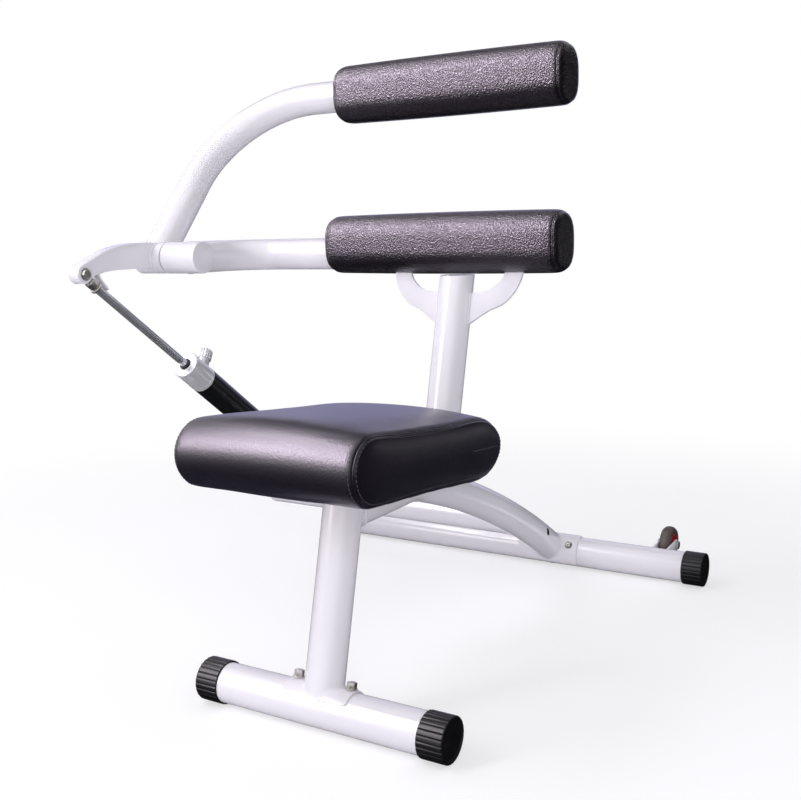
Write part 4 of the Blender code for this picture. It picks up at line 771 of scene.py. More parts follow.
class Bench:
    """Turns shapes into finished pieces that ride on the frame's bodies."""

    def put(self, name: str, shape: Shape, finish: Finish, body: str, *nodes: str,
            angle: float = 32.0) -> Piece:
        """Finishes a piece.

        Args:
            name: The piece's name.
            shape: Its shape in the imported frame, which is used up.
            finish: Its finish.
            body: The body that it rides on.
            *nodes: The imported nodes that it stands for.
            angle: The least turn, in degrees, that stays a sharp edge.

        Returns:
            The piece.
        """
        mesh = bpy.data.meshes.new(name)
        shape.to_mesh(mesh)
        shape.free()
        mesh.shade_smooth()
        mesh.set_sharp_from_angle(angle=radians(angle))
        piece = bpy.data.objects.new(name, mesh)
        bpy.context.scene.collection.objects.link(piece)
        mesh.materials.append(finish.material())
        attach(piece, body)
        if nodes:
            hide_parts(*nodes)
        LOG.info("%s: %d faces, on %s", name, len(mesh.polygons), body)
        return piece

    def bake(self, piece: Piece) -> None:
        """Applies a piece's modifiers to its mesh.

        Args:
            piece: The piece.
        """
        graph = bpy.context.evaluated_depsgraph_get()
        mesh = bpy.data.meshes.new_from_object(piece.evaluated_get(graph))
        old, piece.data = piece.data, mesh
        piece.modifiers.clear()
        bpy.data.meshes.remove(old)
        mesh.name = piece.name

    def carve(self, piece: Piece, *cutters: Shape) -> None:
        """Cuts shapes out of a piece.

        Args:
            piece: The piece.
            *cutters: Shapes, which are used up.
        """
        tools = []
        for i, cutter in enumerate(cutters):
            mesh = bpy.data.meshes.new("cutter")
            cutter.to_mesh(mesh)
            cutter.free()
            tool = bpy.data.objects.new("cutter", mesh)
            bpy.context.scene.collection.objects.link(tool)
            step = piece.modifiers.new(f"cut_{i}", "BOOLEAN")
            step.operation, step.solver, step.object = "DIFFERENCE", "EXACT", tool
            tools.append(tool)
        self.bake(piece)
        piece.data.shade_smooth()
        piece.data.set_sharp_from_angle(angle=radians(32))
        for tool in tools:
            bpy.data.objects.remove(tool)

    def weld(self, name: str, points: list[Vector], body: str, closed: bool = True,
             radius: float = 0.0021) -> None:
        """Lays a powder coated weld bead along a line.

        Args:
            name: The bead's name.
            points: Its line.
            body: The body that it rides on.
            closed: Whether it meets itself.
            radius: Of the bead.
        """
        self.put(name, tube_line(points, radius, closed, ripple=0.10, sides=12), POWDER, body, angle=80)


BENCH = Bench()


# Feet


@dataclass
class Foot:
    """A round foot tube with two ribbed caps and a bolted saddle plate."""

    name: str
    axis: Vector
    left: float
    right: float
    saddle_half: float
    saddle_first: float
    saddle_last: float
    cap_length: float = 0.0395
    cap_groove: float = 0.0010
    bolt_x: float = 0.0455

    def tube(self) -> None:
        """Makes the tube between its caps' end walls."""
        low, high, bore = self.left + 0.0048, self.right - 0.0048, FOOT - 0.0022
        ring = [(FOOT, low), (FOOT, high), (bore, high), (bore, low), (FOOT, low)]
        shape = turned(ring, crosswise(self.axis), 72)
        BENCH.put(f"{self.name}_foot_tube", shape, POWDER, "frame", f"{self.name}_tube")

    def cap(self, side: str, inner: float, outward: int) -> None:
        """Makes a ribbed cup with a dished end face.

        Args:
            side: left or right.
            inner: Where its open end lies along the tube.
            outward: 1 if it closes towards +X, or -1.
        """
        radius, length = FOOT_Z, self.cap_length
        bore = FOOT + 0.0003
        profile = [(0, length - 0.0010), (0.0120, length - 0.0010), (0.0128, length - 0.0014),
                   (radius - 0.0060, length - 0.0014), (radius - 0.0052, length - 0.0002),
                   (radius - 0.0046, length), (radius - 0.0016, length), (radius - 0.0006, length - 0.0004),
                   (radius, length - 0.0016), (radius, 0.0030), (radius, 0.0009), (radius - 0.0006, 0.0002),
                   (radius - 0.0014, 0), (bore, 0), (bore, length - 0.0045), (0, length - 0.0045)]
        flutes = Flutes(CAP_RIBS, self.cap_groove, 0.70, 0.0001, length - 0.0003, radius - 0.0015)
        place = frame_at(self.axis + X_AXIS * inner, X_AXIS * outward, -Z_AXIS)
        shape = turned(profile, place, CAP_RIBS * 10, flutes)
        BENCH.put(f"{self.name}_ribbed_cap_{side}", shape, CAP_PLASTIC, "frame", f"{self.name}_cap_{side}",
                  angle=24)

    def saddle(self) -> None:
        """Makes the curved plate that the beam is welded to."""
        shape = wrapped_plate(self.saddle_half, self.saddle_first, self.saddle_last, self.axis)
        BENCH.put(f"{self.name}_saddle_plate", shape, POWDER, "frame", f"{self.name}_saddle")

    def build(self) -> None:
        """Makes the foot."""
        self.tube()
        self.cap("left", self.left + self.cap_length, -1)
        self.cap("right", self.right - self.cap_length, 1)
        self.saddle()


@dataclass
class FrontFoot(Foot):
    """The front foot, with hexagon bolts beside the seat post."""

    def bolts(self) -> None:
        """Makes the two hexagon head bolts on flanged washers."""
        seat, top = SADDLE_OUTER + 0.0003, 0.0105
        for side, x in (("left", -self.bolt_x), ("right", self.bolt_x)):
            place = frame_at(self.axis + X_AXIS * x, SEAT_POST_UP, X_AXIS) @ Matrix.Translation((0, 0, seat))
            flange = turned([(0, 0), (0.0090, 0), (0.0094, 0.0006), (0.0085, 0.0014), (0.0060, 0.0018),
                             (0, 0.0018)], place, 32)
            head = prism(0.0075, 0.0014, top - 0.0004, place, 0.0005)
            crown = turned([(0, top), (0.0056, top), (0.0064, top - 0.0008), (0.0050, 0.006), (0, 0.006)],
                           place, 32)
            socket = prism(0.0034, top - 0.0040, 0.03, place, 0.0001)
            shank = turned([(0, -0.016), (0.0036, -0.016), (0.004, -0.0155), (0.004, 0.001), (0, 0.001)],
                           place, 24)
            BENCH.put(f"front_hexagon_bolt_{side}", together(flange, head, shank), ZINC, "frame",
                      f"front_saddle_bolt_{side}", angle=24)
            crown_piece = BENCH.put(f"front_bolt_crown_{side}", crown, ZINC, "frame", angle=24)
            BENCH.carve(crown_piece, socket)

    def build(self) -> None:
        """Makes the foot with its bolts."""
        super().build()
        self.bolts()


@dataclass
class RearFoot(Foot):
    """The long rear stabiliser, with button head bolts and two transport wheels' ears."""

    bolt_rise: float = radians(37)
    wheel_y: float = 0.905
    wheel_z: float = 0.0527
    wheel_xs: tuple[float, float] = (-0.4267, 0.2237)

    def bolts(self) -> None:
        """Makes the two button head screws with their cross recess."""
        outward = Vector((0, -cos(self.bolt_rise), sin(self.bolt_rise)))
        seat = SADDLE_OUTER + 0.0003
        for side, x in (("left", -self.bolt_x), ("right", self.bolt_x)):
            place = frame_at(self.axis + X_AXIS * x, outward, X_AXIS) @ Matrix.Translation((0, 0, seat))
            profile = [(0, 0.0042), (0.0024, 0.0040), (0.0046, 0.0033), (0.0064, 0.0021), (0.0075, 0.0006),
                       (0.0075, 0), (0.004, 0), (0.004, -0.016), (0, -0.016)]
            screw = BENCH.put(f"rear_button_screw_{side}", turned(profile, place, 32), ZINC, "frame",
                              f"rear_saddle_bolt_{side}", angle=40)
            BENCH.carve(screw, block((-0.0042, -0.0008, 0.0012), (0.0042, 0.0008, 0.02), place),
                        block((-0.0008, -0.0042, 0.0012), (0.0008, 0.0042, 0.02), place))

    def ears(self, side: str, x: float) -> None:
        """Makes the two ears, the axle bolt and its nut of one wheel.

        Args:
            side: left or right.
            x: The wheel's middle along the tube.
        """
        eye = (self.wheel_y, self.wheel_z)
        foot = (REAR_Y + 0.022, FOOT_Z - 0.015), (REAR_Y + 0.010, FOOT_Z + 0.0275)
        outline = lug_outline(eye, 0.011, *foot)
        for name, ear_x in (("inner", x - 0.0145), ("outer", x + 0.0145)):
            ear = soften(plate(outline, side_plane(ear_x), 0.003), 0.0006)
            BENCH.put(f"wheel_lug_{side}_{name}", ear, POWDER, "frame", f"wheel_ear_{side}_{name}")
            for edge in (-0.0016, 0.0016):
                points = arc_about(self.axis, ear_x + edge, 0.0306, -24, 60, 16)
                BENCH.weld(f"ear_weld_{side}_{name}_{'a' if edge < 0 else 'b'}", points, "frame", False, 0.0014)
        place, seat = crosswise(at(x, self.wheel_y, self.wheel_z)), 0.0163
        shank = turned([(0, -seat - 0.0070), (0.0042, -seat - 0.0070), (0.005, -seat - 0.0062),
                        (0.005, seat + 0.002), (0, seat + 0.002)], place, 32)
        head = prism(0.0085, seat, seat + 0.005, place, 0.0005)
        boss = turned(lifted([(0, 0.0053), (0.0050, 0.0053), (0.0062, 0.0045), (0.0062, 0.003), (0, 0.003)],
                             seat), place, 32)
        nut = prism(0.0085, -seat - 0.005, -seat, place, 0.0005)
        BENCH.put(f"wheel_axle_bolt_{side}", together(shank, head, boss, nut), ZINC, "frame",
                  f"wheel_axle_{side}", angle=24)

    def build(self) -> None:
        """Makes the stabiliser with its screws and ears."""
        super().build()
        self.bolts()
        for side, x in zip(("left", "right"), self.wheel_xs):
            self.ears(side, x)


@dataclass
class TransportWheel:
    """A rubber tyre on a spoked nylon hub."""

    side: str
    centre: Vector
    radius: float = 0.036
    half: float = 0.011
    hub_radius: float = 0.022
    spokes: int = 6

    def build(self) -> None:
        """Makes the tyre and its hub."""
        place = crosswise(self.centre)
        body, half, rim = f"wheel_{self.side}", self.half, self.hub_radius
        tread = [(self.radius - 0.0050 * abs(share) ** 2.6, half * share)
                 for share in [i / 10 - 1 for i in range(21)]]
        bead = [(rim + 0.0060, half), (rim + 0.0030, half - 0.0010), (rim + 0.0003, half - 0.0004)]
        tyre = turned(tread + bead + flipped(bead) + [tread[0]], place, 64)
        BENCH.put(f"rubber_tyre_{self.side}", tyre, TYRE, body, f"wheel_tyre_{self.side}")
        web = [(0.0056, half), (0.0096, half), (0.0104, half - 0.0008), (0.0106, 0.0030), (0.0180, 0.0030),
               (0.0185, half - 0.0012), (rim - 0.0006, half - 0.0004), (rim, half - 0.0010)]
        hub = turned(web + flipped(web) + [web[0]], place, 64)
        spokes = []
        for i in range(self.spokes):
            turn = place @ Matrix.Rotation(2 * pi * i / self.spokes, 4, "Z")
            spokes.append(soften(block((0.0100, -0.0012, -0.0085), (0.0188, 0.0012, 0.0085), turn), 0.0004))
        BENCH.put(f"spoked_hub_{self.side}", together(hub, *spokes), HUB_PLASTIC, body,
                  f"wheel_hub_{self.side}", angle=28)


# Frame


@dataclass
class MainFrame:
    """Seat post, arch beam, cross tube, back post and the yoke under the fixed pad."""

    arch_z: float = 0.3001
    arch_level_end: float = 0.235
    arch_front_bend: float = 0.190
    arch_radius: float = 2.300
    cross_y: float = 0.650
    cross_end: float = -0.576
    drain_y: float = 0.742
    drain_turn: float = radians(77)

    def arch_centres(self) -> tuple[Vector, Vector]:
        """Returns the centres of the arch's two bends in Y and Z of the drawing."""
        front = Vector((self.arch_level_end, self.arch_z - self.arch_front_bend))
        end = Vector((REAR_Y, FOOT_Z))
        reach, away = self.arch_radius - self.arch_front_bend, end - front
        along = (reach**2 - self.arch_radius**2 + away.length_squared) / (2 * away.length)
        across = (reach**2 - along**2) ** 0.5
        step = away.normalized()
        spots = [front + step * along + Vector((-step.y, step.x)) * side * across for side in (1, -1)]
        return front, min(spots, key=lambda spot: spot.y)

    def arch_path(self) -> list[Vector]:
        """Returns the arch's centre line, from the seat post to the rear foot."""
        front, long_bend = self.arch_centres()
        turn = atan2(front.y - long_bend.y, front.x - long_bend.x)
        last = atan2(FOOT_Z - long_bend.y, REAR_Y - long_bend.x)
        start = FRONT_AXIS + SEAT_POST_UP * ((self.arch_z - FOOT_Z) / cos(radians(SEAT_LEAN)))
        points = [(start.y - DRAWING.y + 0.012, self.arch_z)]
        points += arc(tuple(front), self.arch_front_bend, pi / 2, turn, 16)
        points += arc(tuple(long_bend), self.arch_radius, turn, last - radians(0.35), 40)[1:]
        return [at(0, y, z) for y, z in points]

    def arch_height(self, y: float) -> float:
        """Returns the height of the arch's centre line at drawing position y."""
        middle = self.arch_centres()[1]
        return middle.y + (self.arch_radius**2 - (y - middle.x) ** 2) ** 0.5

    def arch_slope(self, y: float) -> Vector:
        """Returns the direction of the arch's centre line at drawing position y."""
        rise = self.arch_height(y + 0.001) - self.arch_height(y - 0.001)
        return Vector((0, 0.002, rise)).normalized()

    def arch(self) -> None:
        """Makes the arch beam with its drain hole and its welds."""
        path = self.arch_path()
        beam = BENCH.put("arched_beam", tube_line(path, TUBE, sides=64), POWDER, "frame", "arch_beam")
        spot, slope = at(0, self.drain_y, self.arch_height(self.drain_y)), self.arch_slope(self.drain_y)
        outward = slope.cross(X_AXIS) * -cos(self.drain_turn) + X_AXIS * sin(self.drain_turn)
        bored = frame_at(spot, outward, slope)
        BENCH.carve(beam, turned(rod_profile(0.0076, 0.014, 0.04), bored, 32))
        # A near-black liner inside the hole: painted shade for its unlit inside.
        liner = turned([(0, 0.0200), (0.0080, 0.0200), (0.0080, 0.0272), (0.0073, 0.0272),
                        (0.0073, 0.0208), (0, 0.0208)], bored, 32)
        BENCH.put("drain_hole_shade", liner, BORE_SHADE, "frame")
        away = -self.arch_slope(0.82)
        corner = meeting(REAR_AXIS, away, TUBE, REAR_AXIS, X_AXIS, SADDLE_OUTER)
        weld = fillet(corner, REAR_AXIS, away, REAR_AXIS, X_AXIS, SADDLE_OUTER, 0.006, 0.005)
        BENCH.put("arch_rear_weld", weld, POWDER, "frame", angle=80)
        start = path[0]
        BENCH.weld("arch_front_weld", meeting(start, Y_AXIS, TUBE, start, SEAT_POST_UP, POST), "frame")

    def seat_post(self) -> None:
        """Makes the leaning seat post and its weld on the front saddle."""
        top = FRONT_AXIS + SEAT_POST_UP * 0.3105
        post = tube_line([FRONT_AXIS + SEAT_POST_UP * 0.024, top], POST, sides=64)
        BENCH.put("leaning_seat_post", post, POWDER, "frame", "seat_post")
        corner = meeting(FRONT_AXIS, SEAT_POST_UP, POST, FRONT_AXIS, X_AXIS, SADDLE_OUTER)
        weld = fillet(corner, FRONT_AXIS, SEAT_POST_UP, FRONT_AXIS, X_AXIS, SADDLE_OUTER, 0.008, 0.007)
        BENCH.put("seat_post_weld", weld, POWDER, "frame", angle=80)
        self.seat_plate()

    def seat_plate(self) -> None:
        """Makes the plate on the post's top, under the seat board."""
        place = SEAT_PLACE @ Matrix.Translation((0, -0.0078, -0.0028))
        shape = soften(plate(rounded_box(0.166, 0.118, 0.012), place, 0.005), 0.0010)
        BENCH.put("seat_mounting_plate", shape, POWDER, "frame", "seat_plate")

    def cross_tube(self) -> None:
        """Makes the cross tube and its plug, and what the cylinder stands on."""
        y = self.cross_y
        axis = at(0, y, self.arch_height(y))
        end = axis + X_AXIS * self.cross_end
        BENCH.put("cylinder_cross_tube", tube_line([axis - X_AXIS * 0.012, end], TUBE, sides=64), POWDER,
                  "frame", "cross_tube")
        BENCH.weld("cross_tube_weld", meeting(axis, -X_AXIS, TUBE, axis, self.arch_slope(y), TUBE), "frame")
        plug = turned([(0, -0.0030), (0.0180, -0.0030), (0.0262, -0.0024), (TUBE - 0.0004, -0.0010), (TUBE, 0),
                       (0.0258, 0), (0.0258, 0.016), (0.0246, 0.018), (0, 0.018)],
                      crosswise(end - X_AXIS * 0.0003), 64)
        BENCH.put("cross_tube_plug", plug, CAP_PLASTIC, "frame", "cross_tube_cap")
        self.lower_pin(axis)

    def lower_pin(self, axis: Vector) -> None:
        """Makes the lugs, the bolt and the nut that hold the cylinder's lower eye.

        Args:
            axis: A point of the cross tube's axis.
        """
        y = self.cross_y
        pin = crosswise(LOWER_PIN)
        eye = (LOWER_PIN.y - DRAWING.y, LOWER_PIN.z - DRAWING.z)
        outline = lug_outline(eye, 0.016, (y + 0.026, self.arch_height(y)), (y - 0.026, self.arch_height(y)))
        for side, x in (("left", -0.0155), ("right", 0.0155)):
            lug = soften(plate(outline, side_plane(PIVOT_X + x), 0.005), 0.0008)
            BENCH.put(f"cylinder_clevis_{side}", lug, POWDER, "frame", f"cylinder_lug_{side}")
            for edge in (-0.0026, 0.0026):
                points = arc_about(Vector((PIVOT.x, axis.y, axis.z)), x + edge, 0.0288, 20, 160, 20)
                BENCH.weld(f"clevis_weld_{side}_{'a' if edge < 0 else 'b'}", points, "frame", False, 0.0018)
        seat = 0.0183
        shank = turned([(0, -seat - 0.011), (0.0052, -seat - 0.011), (0.006, -seat - 0.0102),
                        (0.006, seat + 0.003), (0, seat + 0.003)], pin, 32)
        head = prism(0.0095, seat, seat + 0.0066, pin, 0.0006)
        top = turned(lifted([(0, 0.007), (0.0064, 0.007), (0.0076, 0.0062), (0.0076, 0.004), (0, 0.004)], seat),
                     pin, 32)
        BENCH.put("lower_pin_bolt", together(shank, head, top), ZINC, "frame", "lower_pin", angle=24)
        nut = prism(0.0100, -seat - 0.009, -seat, pin, 0.0006)
        BENCH.put("lower_pin_hexagon_nut", nut, ZINC, "frame", "lower_pin_nut", angle=24)

    def back_post(self) -> None:
        """Makes the back post with its weld on the arch."""
        foot_y = 0.340
        foot_z, middle, lean = self.arch_height(foot_y), YOKE_PLANE.translation, cos(radians(BACK_LEAN))
        foot = middle + BACK_POST_UP * ((foot_z + 0.010 - BACK_POST_Z) / lean)
        top = middle + BACK_POST_UP * ((LOWER_Z - BACK_POST_Z) / lean)
        post = BENCH.put("leaning_back_post", tube_line([foot, top], POST, sides=64), POWDER, "frame", "back_post")
        level = LOWER_Z - PAD_HEIGHT / 2 - PAD_CROWN - 0.0008
        place = Matrix.Translation(at(0, BACK_POST_Y, level))
        BENCH.carve(post, block((-0.1, -0.2, 0), (0.1, 0.2, 0.2), place))
        start = middle + BACK_POST_UP * ((foot_z - BACK_POST_Z) / lean)
        ring = meeting(start, BACK_POST_UP, POST, start, self.arch_slope(foot_y), TUBE)
        BENCH.weld("back_post_weld", ring, "frame")

    def yoke(self) -> None:
        """Makes the two curved straps from the back post up into the fixed pad."""
        rise = PIVOT_Z - BACK_POST_Z
        lower = smooth_line([(0.0174, -0.072), (0.030, -0.0650), (0.046, -0.0535), (0.066, -0.0405),
                             (0.088, -0.0305), (0.106, -0.0125), (0.1165, 0.008), (0.1205, 0.0250)])
        upper = smooth_line([(0.0885, 0.0250), (0.0860, 0.0165), (0.079, 0.0065), (0.064, -0.005), (0.048, -0.010),
                             (0.034, -0.0112), (0.0174, -0.0112)])
        half = lower + [(0.1205, rise), (0.0885, rise)] + upper
        for side, sign in (("left", -1), ("right", 1)):
            outline = [(sign * x, z) for x, z in half]
            strap = soften(plate(outline if sign > 0 else outline[::-1], YOKE_PLANE, 0.006), 0.0010)
            # The straps take the powder that is painted a little darker as shade under the pad.
            BENCH.put(f"pad_strap_{side}", strap, SHADED_POWDER, "frame", f"pad_yoke_{side}")
            for face in (-0.0032, 0.0032):
                points = [YOKE_PLANE @ Vector((sign * 0.0292, -0.064 + 0.052 * i / 20, face)) for i in range(21)]
                BENCH.weld(f"strap_weld_{side}_{'a' if face < 0 else 'b'}", points, "frame", False, 0.0022)

    def build(self) -> None:
        """Makes the frame."""
        self.seat_post()
        self.arch()
        self.cross_tube()
        self.back_post()
        self.yoke()


@dataclass
class Pivot:
    """The fixed boss and the turning hub, with the two pad tubes that start from them."""

    radius: float = 0.028
    boss_right: float = -0.424
    boss_left: float = -0.5028
    hub_right: float = -0.5050
    hub_left: float = -0.570
    lower_bend: float = 0.090
    upper_bend: float = 0.190

    def boss(self) -> None:
        """Makes the fixed boss with its flat end disc and a shallow seam behind it."""
        axis, radius, edge = crosswise(at(0, PIVOT_Y, PIVOT_Z)), self.radius, self.boss_right
        bore, left, right = 0.0128, self.boss_left, edge - 0.0043
        ring = [(bore, left), (radius - 0.0008, left), (radius, left + 0.0008), (radius, right), (bore, right),
                (bore, left)]
        BENCH.put("fixed_boss", turned(ring, axis, 72), POWDER, "frame", "pivot_boss")
        disc = [(0, edge), (radius - 0.0016, edge), (radius - 0.0005, edge - 0.0005), (radius, edge - 0.0016),
                (radius, right), (0, right)]
        BENCH.put("boss_face_disc", turned(disc, axis, 72), POWDER, "frame", "boss_end_disc")

    def hub(self) -> None:
        """Makes the turning hub and the cap in its far end."""
        axis = crosswise(at(0, PIVOT_Y, PIVOT_Z))
        left, seat, bore = self.hub_left, self.radius - 0.004, 0.0162
        ring = [(self.radius - 0.0008, self.hub_right), (self.radius, self.hub_right - 0.0008),
                (self.radius, left + 0.0010), (self.radius - 0.0010, left), (seat, left), (seat, left + 0.0033),
                (bore, left + 0.0033), (bore, self.hub_right), (self.radius - 0.0008, self.hub_right)]
        BENCH.put("turning_hub", turned(ring, axis, 72), POWDER, "arm", "pivot_hub")
        cap = [(0, left + 0.0003), (seat - 0.0030, left + 0.0003), (seat - 0.0003, left + 0.0016),
               (seat - 0.0003, left + 0.003), (0, left + 0.003)]
        BENCH.put("hub_end_plug", turned(cap, axis, 72), POWDER, "arm", "hub_end_cap")

    def lower_tube(self) -> None:
        """Makes the tube from the fixed boss round into the lower pad."""
        middle_x = (self.boss_right + self.boss_left) / 2
        bend = (middle_x + self.lower_bend, LOWER_TUBE_Y - self.lower_bend)
        path = [(LOWER_RIGHT - PAD_PAST_TUBE, LOWER_TUBE_Y)] + arc(bend, self.lower_bend, pi / 2, pi, 28)
        path += [(middle_x, PIVOT_Y + 0.012)]
        tube = tube_line([at(x, y, PIVOT_Z) for x, y in path], TUBE, sides=64)
        BENCH.put("fixed_pad_tube", tube, POWDER, "frame", "lower_pad_tube")
        start = at(middle_x, PIVOT_Y, PIVOT_Z)
        BENCH.weld("boss_weld", meeting(start, Y_AXIS, TUBE, start, X_AXIS, self.radius), "frame", radius=0.0022)

    def upper_arm(self) -> None:
        """Makes the arm from the hub up and round into the upper pad."""
        straight = ARM_RISE - self.upper_bend
        path = [(0, 0.012)] + arc((self.upper_bend, straight), self.upper_bend, pi, pi / 2, 36)
        path += [(UPPER_RIGHT - PAD_PAST_TUBE - PIVOT_X, ARM_RISE)]
        tube = tube_line([PIVOT + X_AXIS * x + ARM_UP * up for x, up in path], TUBE, sides=64)
        BENCH.put("swinging_arm_tube", tube, POWDER, "arm", "upper_arm_tube")
        BENCH.weld("arm_weld", meeting(PIVOT, ARM_UP, TUBE, PIVOT, X_AXIS, self.radius), "arm", radius=0.0024)

    def build(self) -> None:
        """Makes the pivot and its tubes."""
        self.boss()
        self.hub()
        self.lower_tube()
        self.upper_arm()


@dataclass
class Lever:
    """The inverted channel that joins the hub to the cylinder's rod, with its pin."""

    width: float = 0.023
    wall: float = 0.0045
    nose: float = 0.016

    def channel(self) -> None:
        """Makes the channel with its stop tab, hollow from below."""
        plane, pin, low = side_plane(PIVOT_X), (LEVER_Y, LEVER_Z), LEVER_Z + 0.004
        nose = arc(pin, self.nose, radians(288), radians(122), 28)
        top = smooth_line([nose[-1], (0.128, 0.6665), (0.152, 0.6755), (0.180, 0.6820), (0.210, 0.6855),
                           (0.260, 0.686), (0.272, 0.686)])
        under = smooth_line([(0.252, low), (0.200, low), (0.165, low - 0.0002), (0.140, low - 0.003),
                             (0.118, low - 0.0085), nose[0]])
        outline = (nose + top[1:] + under[:-1])[::-1]
        channel = soften(plate(outline, plane, self.width), 0.0018, 3)
        piece = BENCH.put("lever_arm_channel", channel, POWDER, "arm", "lever_channel")
        inner = arc(pin, self.nose - self.wall, radians(250), radians(122), 20)
        mouth = (pin[0] + 0.036 * cos(radians(250)), pin[1] + 0.036 * sin(radians(250)))
        roof = [(y, z - self.wall) for y, z in top[1:]]
        cavity = plate(([mouth] + inner + roof + [(0.272, 0.597)])[::-1], plane, self.width - 2 * self.wall)
        hub = turned(rod_profile(0.0283, -0.1, 0.1), crosswise(PIVOT), 72)
        arm = turned(rod_profile(TUBE + 0.0003, 0, 0.1), frame_at(PIVOT, ARM_UP, X_AXIS), 72)
        hole = turned(rod_profile(0.0053, -0.1, 0.1), crosswise(LEVER_PIN), 32)
        BENCH.carve(piece, cavity, hub, arm, hole)
        self.stop_tab(plane)

    def stop_tab(self, plane: Matrix) -> None:
        """Makes the bent strip that meets the rod at the backward stop.

        Args:
            plane: The placing of outlines in the lever's middle.
        """
        tip = LEVER_PIN + DOWN * 0.060 + OUT * 0.0078 - DRAWING
        back = tip + OUT * 0.003
        outer = smooth_line([(0.1290, 0.666), (0.1290, 0.643), (0.1330, 0.629), (tip.y, tip.z)], 8)
        inner = smooth_line([(back.y, back.z), (0.1358, 0.6308), (0.1320, 0.6440), (0.1320, 0.666)], 8)
        tab = soften(plate(outer + inner, plane, 0.0148), 0.0007)
        BENCH.put("lever_stop_tab", tab, POWDER, "arm")

    def welds(self) -> None:
        """Lays the beads where the channel meets the hub."""
        for name, edge in (("left", -self.width / 2), ("right", self.width / 2)):
            BENCH.weld(f"lever_weld_{name}", arc_about(PIVOT, edge, 0.0284, 104, 214, 30), "arm", False, 0.0026)

    def pin(self) -> None:
        """Makes the socket head screw, its washer and its nut."""
        place, seat = crosswise(LEVER_PIN), self.width / 2 + 0.0003
        head = lifted([(0, 0.0055), (0.0070, 0.0055), (0.0080, 0.0048), (0.0084, 0.0040), (0.0084, 0.0014),
                       (0.0104, 0.0012), (0.0106, 0.0008), (0.0106, 0), (0.005, 0)], seat)
        end = [(0.005, -seat - 0.0094), (0.0044, -seat - 0.010), (0, -seat - 0.010)]
        screw = BENCH.put("lever_socket_screw", turned(head + end, place, 48), ZINC, "arm", "lever_pin", angle=28)
        BENCH.carve(screw, prism(0.0042, seat + 0.0022, seat + 0.03, place, 0.0001))
        nut = prism(0.0090, -seat - 0.008, -seat, place, 0.0006)
        BENCH.put("lever_hexagon_nut", nut, ZINC, "arm", "lever_pin_nut", angle=24)

    def build(self) -> None:
        """Makes the lever with its pin."""
        self.channel()
        self.welds()
        self.pin()


